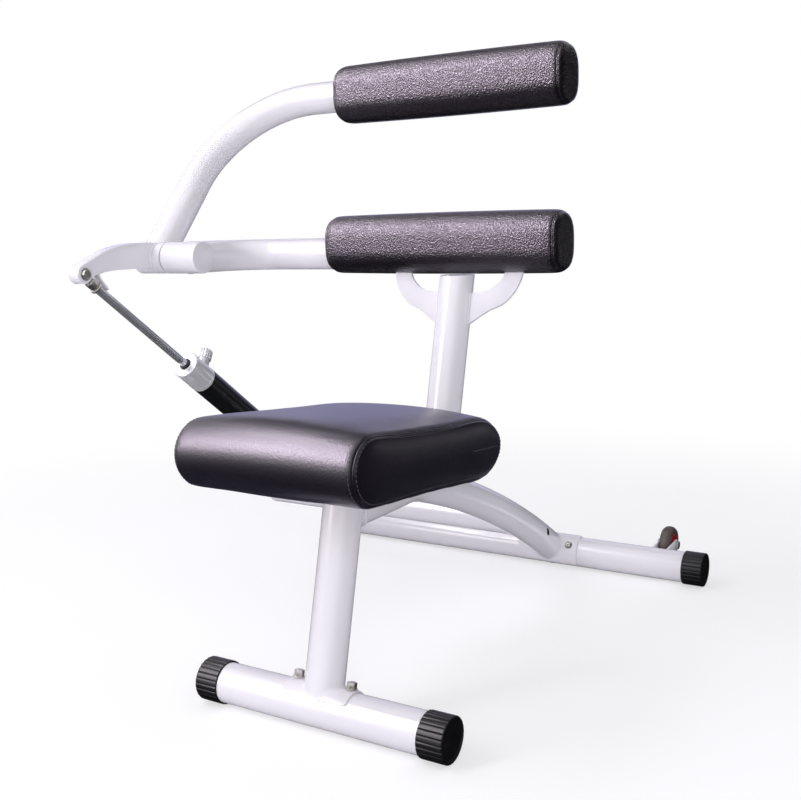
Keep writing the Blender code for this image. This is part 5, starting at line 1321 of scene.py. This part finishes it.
@dataclass
class HydraulicCylinder:
    """Rod, head, seal, barrel, lower eye and the valve knob. Lengths run down from the lever pin."""

    rod_radius: float = 0.0075
    radius: float = 0.0264
    head_start: float = 0.299
    head_end: float = 0.3585
    barrel_end: float = 0.655
    knob_reach: float = 0.346
    knob_turn: float = radians(12)

    def rod(self) -> None:
        """Makes the eye block with its collar, and the chromed rod."""
        half = [(0.0054, -0.0065), (0.0102, -0.0065), (0.0110, -0.0057)]
        eye = turned(half + flipped(half) + [half[0]], crosswise(LEVER_PIN), 48)
        neck = soften(block((-0.0062, -0.0064, 0.0085), (0.0062, 0.0064, 0.0240), CYLINDER), 0.0012, 3)
        shank = turned([(0, 0.0200), (0.0075, 0.0200), (0.0090, 0.0215), (0.0090, 0.0352), (0.0083, 0.0358),
                        (0.0083, 0.0364), (0.0106, 0.0364), (0.0115, 0.0372), (0.0115, 0.0407), (0.0107, 0.0415),
                        (0, 0.0415)], CYLINDER, 48)
        BENCH.put("rod_eye_block", together(eye, neck, shank), ZINC, "rod", "rod_end", angle=28)
        rod = turned([(0, 0.0418), (self.rod_radius, 0.0418), (self.rod_radius, 0.397),
                      (self.rod_radius - 0.0008, 0.398), (0, 0.398)], CYLINDER, 64)
        BENCH.put("chromed_rod", rod, CHROME, "rod", "piston_rod")

    def head(self) -> None:
        """Makes the turned head with the raised seat of its valve, and the wiper seal."""
        r, start, end = self.radius, self.head_start, self.head_end
        profile = [(0.0079, end + 0.008), (0.0221, end + 0.008), (0.0221, end), (r - 0.0004, end),
                   (r, end - 0.0005), (r, end - 0.0060), (r - 0.0004, end - 0.0064), (r - 0.0004, end - 0.0072),
                   (r, end - 0.0076), (r, start + 0.0022), (r - 0.0006, start + 0.0008), (r - 0.0020, start),
                   (0.0150, start),
                   (0.0144, start + 0.0006), (0.0130, start + 0.0006), (0.0124, start), (0.0113, start),
                   (0.0113, start + 0.0053), (0.0079, start + 0.0053), (0.0079, end + 0.008)]
        BENCH.put("turned_cylinder_head", turned(profile, CYLINDER, 80), ALUMINIUM, "cylinder", "cylinder_head",
                  angle=26)
        seat = self.knob_frame()
        boss = turned([(0.0044, 0.0200), (0.0120, 0.0200), (0.0120, r + 0.0086), (0.0112, r + 0.0095),
                       (0.0044, r + 0.0095), (0.0044, 0.0200)], seat, 48)
        BENCH.put("valve_boss", boss, ALUMINIUM, "cylinder", angle=26)
        seal = turned([(0.0110, start + 0.005), (0.0110, start - 0.0016), (0.0104, start - 0.0030),
                       (0.0095, start - 0.0040), (0.0079, start - 0.0040), (0.0079, start + 0.005),
                       (0.0110, start + 0.005)], CYLINDER, 48)
        BENCH.put("wiper_seal", seal, SEAL, "cylinder", "rod_seal")

    def barrel(self) -> None:
        """Makes the painted barrel and the end cap with its eye."""
        r, start, end = self.radius, self.head_end + 0.0003, self.barrel_end
        tube = turned([(r - 0.004, start), (r - 0.0004, start), (r, start + 0.0004), (r, end - 0.0004),
                       (r - 0.0004, end), (r - 0.004, end), (r - 0.004, start)], CYLINDER, 80)
        BENCH.put("painted_barrel", tube, BARREL_PAINT, "cylinder", "cylinder_barrel")
        cap = turned([(0, end + 0.0163), (r - 0.0040, end + 0.0163), (r - 0.0012, end + 0.0150),
                      (r, end + 0.0125), (r, end + 0.0008), (r - 0.0005, end + 0.0003), (0.0221, end + 0.0003),
                      (0.0221, end - 0.0077), (0, end - 0.0077)], CYLINDER, 80)
        half = [(0.0124, -0.012), (0.0190, -0.012), (0.0200, -0.011)]
        eye = turned(half + flipped(half) + [half[0]], crosswise(LOWER_PIN), 64)
        neck = soften(block((-0.0117, -0.0120, end + 0.010), (0.0117, 0.0120, 0.6850), CYLINDER), 0.0012)
        BENCH.put("barrel_end_cap_eye", together(cap, eye, neck), BARREL_PAINT, "cylinder", "cylinder_end_eye",
                  angle=28)

    def knob_frame(self) -> Matrix:
        """Returns the placing of the knob's axis, outward from the rod's."""
        outward = OUT * cos(self.knob_turn) - X_AXIS * sin(self.knob_turn)
        return frame_at(LEVER_PIN + DOWN * self.knob_reach, outward, DOWN)

    def knob(self) -> None:
        """Makes the fluted knob on its collar."""
        low = self.radius + 0.0095 + 0.0003
        grip, top = low + 0.0025, low + 0.0215
        profile = [(0, top - 0.0006), (0.0062, top - 0.0006), (0.0068, top), (0.0128, top), (0.0140, top - 0.0008),
                   (0.0145, top - 0.0020), (0.0145, grip + 0.0012), (0.0138, grip), (0.0100, grip),
                   (0.0100, low), (0.0040, low), (0.0040, 0.0164), (0, 0.0164)]
        flutes = Flutes(16, 0.0011, 0.45, grip - 0.0001, top - 0.0007, 0.0135)
        BENCH.put("fluted_valve_knob", turned(profile, self.knob_frame(), 160, flutes), ALUMINIUM, "knob",
                  "valve_knob", angle=24)

    def build(self) -> None:
        """Makes the cylinder."""
        self.rod()
        self.head()
        self.barrel()
        self.knob()


# Upholstery


@dataclass
class Cushion:
    """A closed padded form: blown up a little, then seamed, piped and stitched."""

    name: str
    body: str
    node: str
    finish: Finish
    voxel: float = 0.0055
    cap: float = 0.0040
    swelling: float = 0.0022
    pressure: float = 4.0
    stiffness: float = 40.0
    frames: int = 20
    easing: int = 60

    def slack(self) -> float:
        """Returns how far inside its finished size the form starts."""
        return self.swelling

    def sections(self) -> list[list[Vector]]:
        """Returns closed outlines along the cushion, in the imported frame."""
        raise NotImplementedError

    def loft(self) -> Piece:
        """Bridges the outlines into one closed form.

        Returns:
            The piece, on its body.
        """
        return BENCH.put(self.name, lofted(self.sections()), self.finish, self.body, self.node, angle=180)

    def inflate(self, piece: Piece) -> None:
        """Blows the form up like stuffed vinyl, and keeps each point near where it began.

        Args:
            piece: The form.
        """
        cells = piece.modifiers.new("cells", "REMESH")
        cells.mode, cells.voxel_size = "VOXEL", self.voxel
        BENCH.bake(piece)
        shape = bmesh.new()
        shape.from_mesh(piece.data)
        for _ in range(3):
            bmesh.ops.smooth_vert(shape, verts=shape.verts, factor=0.5, use_axis_x=True, use_axis_y=True,
                                  use_axis_z=True)
        shape.to_mesh(piece.data)
        shape.free()
        self.swell(piece)
        finer = piece.modifiers.new("finer", "SUBSURF")
        finer.levels = finer.render_levels = 1
        BENCH.bake(piece)
        piece.data.shade_smooth()

    def swell(self, piece: Piece) -> None:
        """Lets air pressure push the cloth out, and keeps the taut share of that push.

        Foam fills the cover, so the folds of an empty bag are eased away.

        Args:
            piece: The form.
        """
        cloth = piece.modifiers.new("air", "CLOTH")
        cloth.settings.quality = 4
        cloth.settings.use_pressure = True
        cloth.settings.uniform_pressure_force = self.pressure
        cloth.settings.tension_stiffness = cloth.settings.compression_stiffness = self.stiffness
        cloth.settings.bending_stiffness = self.stiffness / 2
        cloth.settings.effector_weights.gravity = 0
        cloth.point_cache.frame_start, cloth.point_cache.frame_end = 1, self.frames
        scene = bpy.context.scene
        for number in range(1, self.frames + 1):
            scene.frame_set(number)
        swollen = piece.evaluated_get(bpy.context.evaluated_depsgraph_get())
        verts = piece.data.vertices
        push = np.array([(goal.co - vert.co).dot(vert.normal) for goal, vert in zip(swollen.data.vertices, verts)])
        piece.modifiers.clear()
        scene.frame_set(1)
        push = eased(piece.data, np.clip(push, -self.cap, self.cap), self.easing)
        push += self.slack() - push.mean()
        moves = [vert.normal * float(amount) for vert, amount in zip(verts, push)]
        for vert, move in zip(verts, moves):
            vert.co += move

    def line_on(self, piece: Piece, point: Vector, normal: Vector, spacing: float) -> list[Vector]:
        """Finds where a plane crosses the cushion's skin.

        Args:
            piece: The cushion.
            point: A point of the plane.
            normal: The plane's normal.
            spacing: Distance between the points given back.

        Returns:
            Points of the longest closed line, evenly spaced.
        """
        bm = bmesh.new()
        bm.from_mesh(piece.data)
        cut = bmesh.ops.bisect_plane(bm, geom=bm.verts[:] + bm.edges[:] + bm.faces[:], dist=1e-7,
                                     plane_co=point, plane_no=normal)["geom_cut"]
        # A dict and not a set, so that the line starts at the same edge each run.
        left = dict.fromkeys(item for item in cut if isinstance(item, bmesh.types.BMEdge))
        runs = []
        while left:
            edge = left.popitem()[0]
            run = [edge.verts[0], edge.verts[1]]
            while True:
                following = next((e for e in run[-1].link_edges if e in left), None)
                if following is None:
                    break
                del left[following]
                run.append(following.other_vert(run[-1]))
            runs.append([vert.co.copy() for vert in run])
        bm.free()
        longest = max(runs, key=lambda run: sum((b - a).length for a, b in zip(run, run[1:])))
        return spaced(longest, spacing)

    def groove(self, piece: Piece, point: Vector, normal: Vector, half: float, depth: float,
               behind: float = -10.0) -> None:
        """Draws the skin in along a seam.

        Args:
            piece: The cushion.
            point: A point of the seam's plane.
            normal: The plane's normal.
            half: Half the groove's width.
            depth: Its depth.
            behind: The seam is only drawn in past this Y.
        """
        bm = bmesh.new()
        bm.from_mesh(piece.data)
        for i in range(-4, 5):
            bmesh.ops.bisect_plane(bm, geom=bm.verts[:] + bm.edges[:] + bm.faces[:], dist=1e-5,
                                   plane_co=point + normal * half * i / 4, plane_no=normal)
        bm.normal_update()
        for vert in bm.verts:
            share = abs((vert.co - point).dot(normal)) / half
            if share < 1 and vert.co.y > behind:
                flat = vert.normal - normal * vert.normal.dot(normal)
                vert.co -= flat * depth * (1 - share) ** 1.5
        bm.to_mesh(piece.data)
        bm.free()
        piece.data.shade_smooth()

    def stitches(self, name: str, piece: Piece, points: list[Vector], length: float,
                 lift: float) -> None:
        """Lays a row of thread stitches on the skin.

        Args:
            name: The row's name.
            piece: The cushion.
            points: Where the stitches' middles go.
            length: Of one stitch.
            lift: How far they stand off the skin.
        """
        skin = BVHTree.FromPolygons([v.co for v in piece.data.vertices],
                                    [tuple(p.vertices) for p in piece.data.polygons])
        bm = bmesh.new()
        for before, point, after in zip([points[-1], *points], points, points[1:] + points[:1]):
            spot, out, _, _ = skin.find_nearest(point)
            place = frame_at(spot + out * lift, after - before, out)
            place @= Matrix.Diagonal((0.0005, 0.0006, length / 2, 1))
            bmesh.ops.create_icosphere(bm, subdivisions=1, radius=1, matrix=place)
        BENCH.put(name, bm, THREAD, self.body, angle=80)


def eased(mesh: bpy.types.Mesh, values: np.ndarray, rounds: int) -> np.ndarray:
    """Averages a value of each vertex with its neighbours', again and again.

    Args:
        mesh: The mesh.
        values: One value a vertex.
        rounds: How often.

    Returns:
        The smoother values.
    """
    ends = np.empty(len(mesh.edges) * 2, dtype=np.int64)
    mesh.edges.foreach_get("vertices", ends)
    one, other = ends[0::2], ends[1::2]
    count = np.bincount(ends, minlength=len(values))
    for _ in range(rounds):
        around = np.bincount(one, values[other], len(values)) + np.bincount(other, values[one], len(values))
        values = (values + around / count) / 2
    return values


def spaced(points: list[Vector], spacing: float) -> list[Vector]:
    """Spaces points evenly along a closed line.

    Args:
        points: The line.
        spacing: Wanted distance.

    Returns:
        The new points, without the first one again at the end.
    """
    closed = points if (points[0] - points[-1]).length < 1e-6 else [*points, points[0]]
    steps = [(b - a).length for a, b in zip(closed, closed[1:])]
    total = sum(steps)
    count = max(8, round(total / spacing))
    made, index, passed = [], 0, 0.0
    for i in range(count):
        goal = total * i / count
        while index < len(steps) - 1 and passed + steps[index] < goal:
            passed += steps[index]
            index += 1
        share = (goal - passed) / max(steps[index], 1e-9)
        made.append(closed[index].lerp(closed[index + 1], min(1.0, share)))
    return made


@dataclass
class SeatCushion(Cushion):
    """The seat: a bull nose in front, crowned side panels and a twin-stitched seam round each."""

    width: float = 0.303
    reach: float = 0.2100
    height: float = 0.0935
    crown: float = 0.0078
    sag: float = 0.0042
    edge_round: float = 0.018
    front_round: float = 0.049
    rear_top: float = 0.094
    rear_low: float = 0.070
    board: tuple[float, float] = (0.115, 0.118)
    seam_in: float = 0.0085

    def outline(self, grow: float, steps: int = 16) -> Outline:
        """Draws the side outline.

        Args:
            grow: How much the crown raises the top.
            steps: Steps of each round corner.

        Returns:
            Points as distance back and height.
        """
        low = self.height / 2
        back, nose = self.reach, -self.reach + self.front_round
        flat, tail = back - self.rear_top, back - self.rear_low
        turns = [pi / 2 * i / steps for i in range(steps + 1)]
        points = [(flat + self.rear_top * cos(t), low + (low + grow) * sin(t)) for t in turns]
        points += [(flat + (nose - flat) * i / 10, self.height + grow) for i in range(1, 10)]
        points += [(nose - self.front_round * sin(t), low + (low + grow) * cos(t)) for t in turns]
        drop = low + self.sag
        points += [(nose - self.front_round * cos(t), low - drop * sin(t)) for t in turns[1:]]
        points += [(nose + (tail - nose) * i / 10, -self.sag) for i in range(1, 10)]
        return points + [(tail + self.rear_low * sin(t), low - drop * cos(t)) for t in turns[:-1]]

    def sections(self) -> list[list[Vector]]:
        """Returns the outlines from side to side, drawn in towards both panels."""
        half, skin = self.width / 2, self.slack()
        inward = [0.010 * i / 10 for i in range(11)]
        stations = [(half - skin - x, self.edge_round * (1 - x / 0.010) ** 2.6) for x in inward]
        stations += [(half * share, 0) for share in (0.8, 0.6, 0.4, 0.2, 0.0)]
        stations += [(-x, inset) for x, inset in reversed(stations[:-1])]
        made = []
        for x, inset in stations:
            grow = self.crown * (1 - (abs(x) / half) ** 2)
            made.append([SEAT_PLACE @ Vector((x, y, z)) for y, z in drawn_in(self.outline(grow), inset + skin)])
        return made

    def rest(self, piece: Piece) -> None:
        """Flattens the underside on its board, which sits in a pocket.

        Args:
            piece: The cushion.
        """
        back = SEAT_PLACE.inverted()
        for vert in piece.data.vertices:
            spot = back @ vert.co
            if spot.z < 0.003:
                over = abs(spot.x) < self.board[0] + 0.002 and abs(spot.y) < self.board[1] + 0.002
                spot.z = 0.0126 if over else max(spot.z, -self.sag)
                vert.co = SEAT_PLACE @ spot

    def build(self) -> None:
        """Makes the cushion, its seams and its stitches."""
        piece = self.loft()
        self.inflate(piece)
        self.rest(piece)
        half = self.width / 2 - self.seam_in
        self.closing_seam(piece)
        for side, sign in (("left", -1), ("right", 1)):
            point = SEAT_PLACE @ Vector((sign * half, 0, 0.05))
            self.groove(piece, point, X_AXIS, 0.0034, 0.0020)
            fold = self.line_on(piece, point, X_AXIS, 0.003)
            shape = tube_line(fold, 0.0011, True, sides=8)
            BENCH.put(f"seat_fold_{side}", shape, self.finish, self.body, angle=80)
            for row, shift in (("skin", -0.0048), ("panel", 0.0031)):
                spot = SEAT_PLACE @ Vector((sign * (half + shift), 0, 0.05))
                line = self.line_on(piece, spot, X_AXIS, 0.0062)
                self.stitches(f"seat_stitches_{side}_{row}", piece, line, 0.0044, 0.0002)

    def closing_seam(self, piece: Piece) -> None:
        """Draws in the seam at mid height round the back, where the cover was closed.

        Args:
            piece: The cushion.
        """
        point, level = SEAT_PLACE @ Vector((0, 0, 0.048)), SEAT_PLACE.to_3x3() @ Z_AXIS
        self.groove(piece, point, level, 0.0017, 0.0005, (SEAT_PLACE @ Vector((0, 0.10, 0))).y)


@dataclass
class BackPad(Cushion):
    """A long pad about a tube, with a sewn panel at each end."""

    left: float = -0.278
    right: float = UPPER_RIGHT
    y: float = UPPER_Y
    z: float = UPPER_Z
    tube_y: float = UPPER_Y
    tube_z: float = UPPER_Z
    depth: float = 0.088
    height: float = PAD_HEIGHT
    corner: float = 0.038
    end_round: float = 0.012
    seam_in: float = 0.0072
    slots: bool = False

    def sections(self) -> list[list[Vector]]:
        """Returns rounded rectangles from end to end, drawn in at both ends."""
        middle, half, skin = (self.left + self.right) / 2, (self.right - self.left) / 2, self.slack()
        stations = []
        for i in range(9):
            turn = pi / 2 * i / 8
            stations.append((half - skin - self.end_round * (1 - sin(turn)),
                             self.end_round * (1 - cos(turn)) * 0.6))
        stations = stations[::-1] + [(half * i / 6, 0) for i in range(5, -1, -1)]
        stations += [(-x, inset) for x, inset in reversed(stations[:-1])]
        place, made = crosswise(at(middle, self.y, self.z)), []
        for x, inset in stations:
            grow = PAD_CROWN * (1 - (x / half) ** 2) - inset - skin
            outline = rounded_box(self.depth + 2 * grow, self.height + 2 * grow, self.corner + grow, 10)
            made.append([place @ Vector((a, b, x)) for a, b in outline])
        return made

    def bulge(self, piece: Piece) -> None:
        """Swells the two end panels inside their seams.

        Args:
            piece: The pad.
        """
        for sign, end in ((-1, at(self.left, 0, 0).x), (1, at(self.right, 0, 0).x)):
            for vert in piece.data.vertices:
                past = sign * (vert.co.x - end) + 0.006
                if past > 0:
                    a = (vert.co.y - at(0, self.y, 0).y) / (self.depth / 2)
                    b = (vert.co.z - self.z) / (self.height / 2)
                    dome = max(0.0, 1 - a * a) * max(0.0, 1 - b * b) * min(1, past / 0.004)
                    vert.co.x += sign * 0.0030 * dome

    def build(self) -> None:
        """Makes the pad, its piped seams and the bore for its tube."""
        piece = self.loft()
        self.inflate(piece)
        self.bulge(piece)
        for side, x in (("left", self.left + self.seam_in), ("right", self.right - self.seam_in)):
            point = at(x, self.y, self.z)
            self.groove(piece, point, X_AXIS, 0.0034, 0.0018)
            line = self.line_on(piece, point, X_AXIS, 0.003)
            BENCH.put(f"{self.name}_piping_{side}", tube_line(line, 0.0012, True, sides=10), self.finish,
                      self.body, angle=80)
        reach = self.right - PAD_PAST_TUBE + 0.0003
        cutters = [turned(rod_profile(TUBE + 0.0006, self.left - 0.05, reach),
                          crosswise(at(0, self.tube_y, self.tube_z)), 64)]
        if self.slots:
            cutters += [block((low, 0, -0.0038), (high, 0.055, 0.0038), YOKE_PLANE)
                        for low, high in ((-0.1213, -0.0877), (0.0877, 0.1213))]
        BENCH.carve(piece, *cutters)
        piece.data.set_sharp_from_angle(angle=radians(60))


# Carried nodes and the studio


@dataclass
class CarriedNodes:
    """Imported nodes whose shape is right, which only get their finish and clean shading."""

    finishes: tuple[tuple[str, Finish], ...] = (
        # The bushes' bronze is painted dark brown, partly as shade in the gap beside the hub.
        ("seat_board", PLYWOOD), ("pivot_shaft", STEEL), ("hub_bush_left", BRONZE_AND_GAP_SHADE),
        ("hub_bush_right", BRONZE_AND_GAP_SHADE), ("piston", STEEL))

    def shading(self) -> bpy.types.NodeTree:
        """Returns the geometry nodes that weld a node's triangles and smooth its round faces."""
        group = bpy.data.node_groups.new("welded_shading", "GeometryNodeTree")
        group.interface.new_socket("Geometry", in_out="INPUT", socket_type="NodeSocketGeometry")
        group.interface.new_socket("Geometry", in_out="OUTPUT", socket_type="NodeSocketGeometry")
        start = add_node(group, "NodeGroupInput").outputs[0]
        merged = add_node(group, "GeometryNodeMergeByDistance", {"Geometry": start, "Distance": 1e-5})
        turn = add_node(group, "GeometryNodeInputMeshEdgeAngle").outputs[0]
        sharp = add_node(group, "FunctionNodeCompare", {0: turn, 1: radians(32)}, operation="GREATER_THAN")
        shaded = add_node(group, "GeometryNodeSetMeshNormal",
                          {"Mesh": merged.outputs[0], "Edge Sharpness": sharp.outputs[0]}, mode="SHARPNESS")
        add_node(group, "NodeGroupOutput", {0: shaded.outputs[0]})
        return group

    def build(self) -> None:
        """Dresses the nodes."""
        group = self.shading()
        for name, finish in self.finishes:
            node = frame["nodes"][name]
            node.data.materials.clear()
            node.data.materials.append(finish.material())
            node.modifiers.new("shading", "NODES").node_group = group
            LOG.info("%s: carried over in %s", name, finish.name)


@dataclass
class Studio:
    """White sweep, soft lamps, dark flags and the camera at the photograph's angle."""

    yaw: float = radians(31.3014)
    pitch: float = radians(9.2899)
    roll: float = radians(-1.3991)
    focal_pixels: float = 1042.12
    picture_width: int = 801
    camera_spot: tuple[float, float, float] = (0.8255, -1.1253, 0.6982)
    aim_height: float = 0.6
    ambient: float = 0.60

    def camera(self) -> None:
        """Makes the camera."""
        a, e, r = self.yaw, self.pitch, self.roll
        back = Vector((sin(a) * cos(e), -cos(a) * cos(e), sin(e)))
        right = (-back).cross(Z_AXIS).normalized()
        up = right.cross(-back)
        across = right * cos(r) + up * sin(r)
        upward = up * cos(r) - right * sin(r)
        data = bpy.data.cameras.new("camera")
        data.sensor_width = 36
        data.lens = self.focal_pixels / self.picture_width * data.sensor_width
        data.shift_x = 0.5 / self.picture_width
        data.clip_start = 0.05
        camera = bpy.data.objects.new("camera", data)
        placing = Matrix((across, upward, back)).transposed().to_4x4()
        placing.translation = at(*self.camera_spot)
        camera.matrix_world = placing
        bpy.context.scene.collection.objects.link(camera)
        bpy.context.scene.camera = camera

    def lamp(self, name: str, spot: tuple[float, float, float], size: tuple[float, float], radiance: float,
             colour: str, mirrored: bool = True, lights: bool = True) -> None:
        """Hangs a soft box that points at the middle of the machine.

        Args:
            name: Its name.
            spot: Where it hangs.
            size: Its width and height.
            radiance: Its brightness.
            colour: Its colour.
            mirrored: Whether glossy surfaces show it.
            lights: Whether it lights matt surfaces.
        """
        data = bpy.data.lights.new(name, "AREA")
        data.shape = "RECTANGLE"
        data.size, data.size_y = size
        data.energy = radiance * pi * size[0] * size[1]
        data.color = hex_colour(colour)[:3]
        lamp = bpy.data.objects.new(name, data)
        lamp.matrix_world = frame_at(Vector(spot), Vector(spot) - Z_AXIS * self.aim_height, X_AXIS)
        lamp.visible_glossy, lamp.visible_diffuse = mirrored, lights
        bpy.context.scene.collection.objects.link(lamp)

    def panel(self, name: str, size: tuple[float, float], place: Matrix, material: bpy.types.Material,
              flag: bool = False) -> None:
        """Sets up a flat stage panel.

        Args:
            name: Its name.
            size: Its width and height.
            place: Where it stands.
            material: Its material.
            flag: Whether only reflections show it.
        """
        bm = bmesh.new()
        bmesh.ops.create_grid(bm, x_segments=1, y_segments=1, size=0.5)
        bmesh.ops.scale(bm, verts=bm.verts, vec=(size[0], size[1], 1))
        mesh = bpy.data.meshes.new(name)
        placed(bm, place).to_mesh(mesh)
        bm.free()
        mesh.materials.append(material)
        panel = bpy.data.objects.new(name, mesh)
        if flag:
            panel.visible_camera = panel.visible_diffuse = panel.visible_shadow = False
            panel.visible_transmission = False
        bpy.context.scene.collection.objects.link(panel)

    def seen_directly(self, tree: bpy.types.NodeTree) -> bpy.types.Node:
        """Returns a node that gives 1 for rays from the camera or from a mirror, else 0."""
        path = add_node(tree, "ShaderNodeLightPath")
        return add_node(tree, "ShaderNodeMath",
                        {0: path.outputs["Is Camera Ray"], 1: path.outputs["Is Glossy Ray"]}, operation="MAXIMUM")

    def floor_material(self) -> bpy.types.Material:
        """Returns pale paper that looks white to the camera and keeps the shadows."""
        made = bpy.data.materials.new("pale_floor_paper")
        tree = fresh_tree(made)
        seen = self.seen_directly(tree)
        white = add_node(tree, "ShaderNodeEmission", {"Color": hex_colour("#FFFFFF"), "Strength": 1.0})
        paper = add_node(tree, "ShaderNodeBsdfDiffuse", {"Color": hex_colour("#BCBCBE")})
        glow = add_node(tree, "ShaderNodeEmission", {"Color": hex_colour("#FFFFFF"), "Strength": 0.54})
        near = add_node(tree, "ShaderNodeAddShader", {0: paper.outputs[0], 1: glow.outputs[0]})
        coords = add_node(tree, "ShaderNodeTexCoord").outputs["Object"]
        reach = add_node(tree, "ShaderNodeVectorMath", {0: coords}, operation="LENGTH")
        far = add_node(tree, "ShaderNodeMapRange",
                       {"Value": reach.outputs["Value"], "From Min": 0.9, "From Max": 2.0},
                       interpolation_type="SMOOTHSTEP")
        bright = add_node(tree, "ShaderNodeMixShader", {0: far.outputs[0], 1: near.outputs[0], 2: white.outputs[0]})
        bounce = add_node(tree, "ShaderNodeBsdfDiffuse", {"Color": hex_colour("#F0F0F2")})
        shader = add_node(tree, "ShaderNodeMixShader",
                          {0: seen.outputs[0], 1: bounce.outputs[0], 2: bright.outputs[0]})
        add_node(tree, "ShaderNodeOutputMaterial", {"Surface": shader.outputs[0]})
        return made

    def card_material(self, name: str, colour: str) -> bpy.types.Material:
        """Returns the even tone of a card that only reflections show.

        Args:
            name: Its name.
            colour: Its tone.

        Returns:
            The material.
        """
        made = bpy.data.materials.new(name)
        tree = fresh_tree(made)
        tone = add_node(tree, "ShaderNodeEmission", {"Color": hex_colour(colour), "Strength": 1.0})
        add_node(tree, "ShaderNodeOutputMaterial", {"Surface": tone.outputs[0]})
        return made

    def world(self) -> None:
        """Makes a dim even sky that the camera and mirrors see as white."""
        world = bpy.data.worlds.new("studio")
        bpy.context.scene.world = world
        tree = fresh_tree(world)
        path = add_node(tree, "ShaderNodeLightPath")
        seen = add_node(tree, "ShaderNodeMath",
                        {0: self.seen_directly(tree).outputs[0], 1: path.outputs["Is Transmission Ray"]},
                        operation="MAXIMUM")
        strength = add_node(tree, "ShaderNodeMapRange", {"Value": seen.outputs[0], "To Min": self.ambient})
        tint = add_node(tree, "ShaderNodeMix", {"Factor": seen.outputs[0], 6: hex_colour("#F3F2F9"),
                                                7: hex_colour("#FFFFFF")}, data_type="RGBA")
        sky = add_node(tree, "ShaderNodeBackground", {"Color": tint.outputs[2], "Strength": strength.outputs[0]})
        add_node(tree, "ShaderNodeOutputWorld", {"Surface": sky.outputs[0]})

    def build(self) -> None:
        """Sets up the studio."""
        self.camera()
        self.world()
        self.panel("floor", (14, 14), Matrix.Translation((0, 0, -0.0002)), self.floor_material())
        tones = {name: self.card_material(name, colour) for name, colour in (
            ("dark_card", "#131315"), ("grey_card", "#222326"), ("streak_tone", "#ECECEF"),
            ("sky_tone", "#C6C3EE"))}
        for name, size, spot, facing, tone in (
                ("front_floor_card", (13, 6.3), (0, -3.35, -0.0001), Z_AXIS, "dark_card"),
                ("right_floor_card", (6.1, 6.7), (3.45, 3.15, -0.0001), Z_AXIS, "dark_card"),
                ("left_floor_card", (6.9, 6.7), (-3.05, 3.15, -0.0001), Z_AXIS, "grey_card"),
                ("right_card", (11.0, 3.2), (1.9, 3.6, 1.6), X_AXIS, "dark_card"),
                ("streak_card", (1.4, 0.85), (1.88, 2.9, 0.48), X_AXIS, "streak_tone"),
                ("behind_card", (2.3, 3.2), (1.05, 6.55, 1.6), Y_AXIS, "dark_card"),
                ("sky_card", (11.0, 5.0), (-5.6, 6.6, 2.5), Y_AXIS, "sky_tone"),
                ("back_card", (7.0, 1.9), (0, 1.75, 3.25), Vector((0, -1.8, -2.2)), "dark_card")):
            place = frame_at(Vector(spot), facing, Y_AXIS if facing == X_AXIS else X_AXIS)
            self.panel(name, size, place, tones[tone], True)
        self.lamp("front_box", (-1.9, -3.1, 1.6), (0.75, 1.8), 8.1, "#FFF8FC")
        self.lamp("front_glint", (-1.9, -2.75, 2.25), (0.9, 1.3), 23.0, "#FBEFFF", lights=False)
        self.lamp("high_glint", (-1.65, -1.65, 3.1), (0.9, 1.9), 9.0, "#FBEFFF", lights=False)
        self.lamp("high_box", (-1.6, -1.6, 3.0), (0.75, 1.9), 7.2, "#FCF8FF")
        self.lamp("right_fill", (1.8, -2.6, 1.6), (1.6, 1.6), 3.4, "#FFFFFF", mirrored=False)
        bpy.context.scene.view_settings.view_transform = "Standard"


def main() -> None:
    """Builds the machine and its studio."""
    logging.basicConfig(level=logging.INFO, format="%(name)s %(message)s")
    Studio().build()
    top = pi / 2 - radians(SEAT_LEAN)
    FrontFoot("front", FRONT_AXIS, -0.210, 0.210, 0.0545, top - radians(60), top + radians(60)).build()
    RearFoot("rear", REAR_AXIS, -0.520, 0.317, 0.0635, pi - radians(104), pi + radians(40)).build()
    TransportWheel("left", joint_point("wheel_left_spin")).build()
    TransportWheel("right", joint_point("wheel_right_spin")).build()
    MainFrame().build()
    Pivot().build()
    Lever().build()
    HydraulicCylinder().build()
    SeatCushion("seat_upholstery", "frame", "seat_cushion", SEAT_VINYL).build()
    BackPad("upper_pad_upholstery", "arm", "upper_pad", VINYL).build()
    BackPad("lower_pad_upholstery", "frame", "lower_pad", VINYL, left=-0.255, right=LOWER_RIGHT, y=LOWER_Y,
            z=LOWER_Z, tube_y=LOWER_TUBE_Y, tube_z=PIVOT_Z, slots=True).build()
    CarriedNodes().build()


if __name__ == "__main__":
    main()
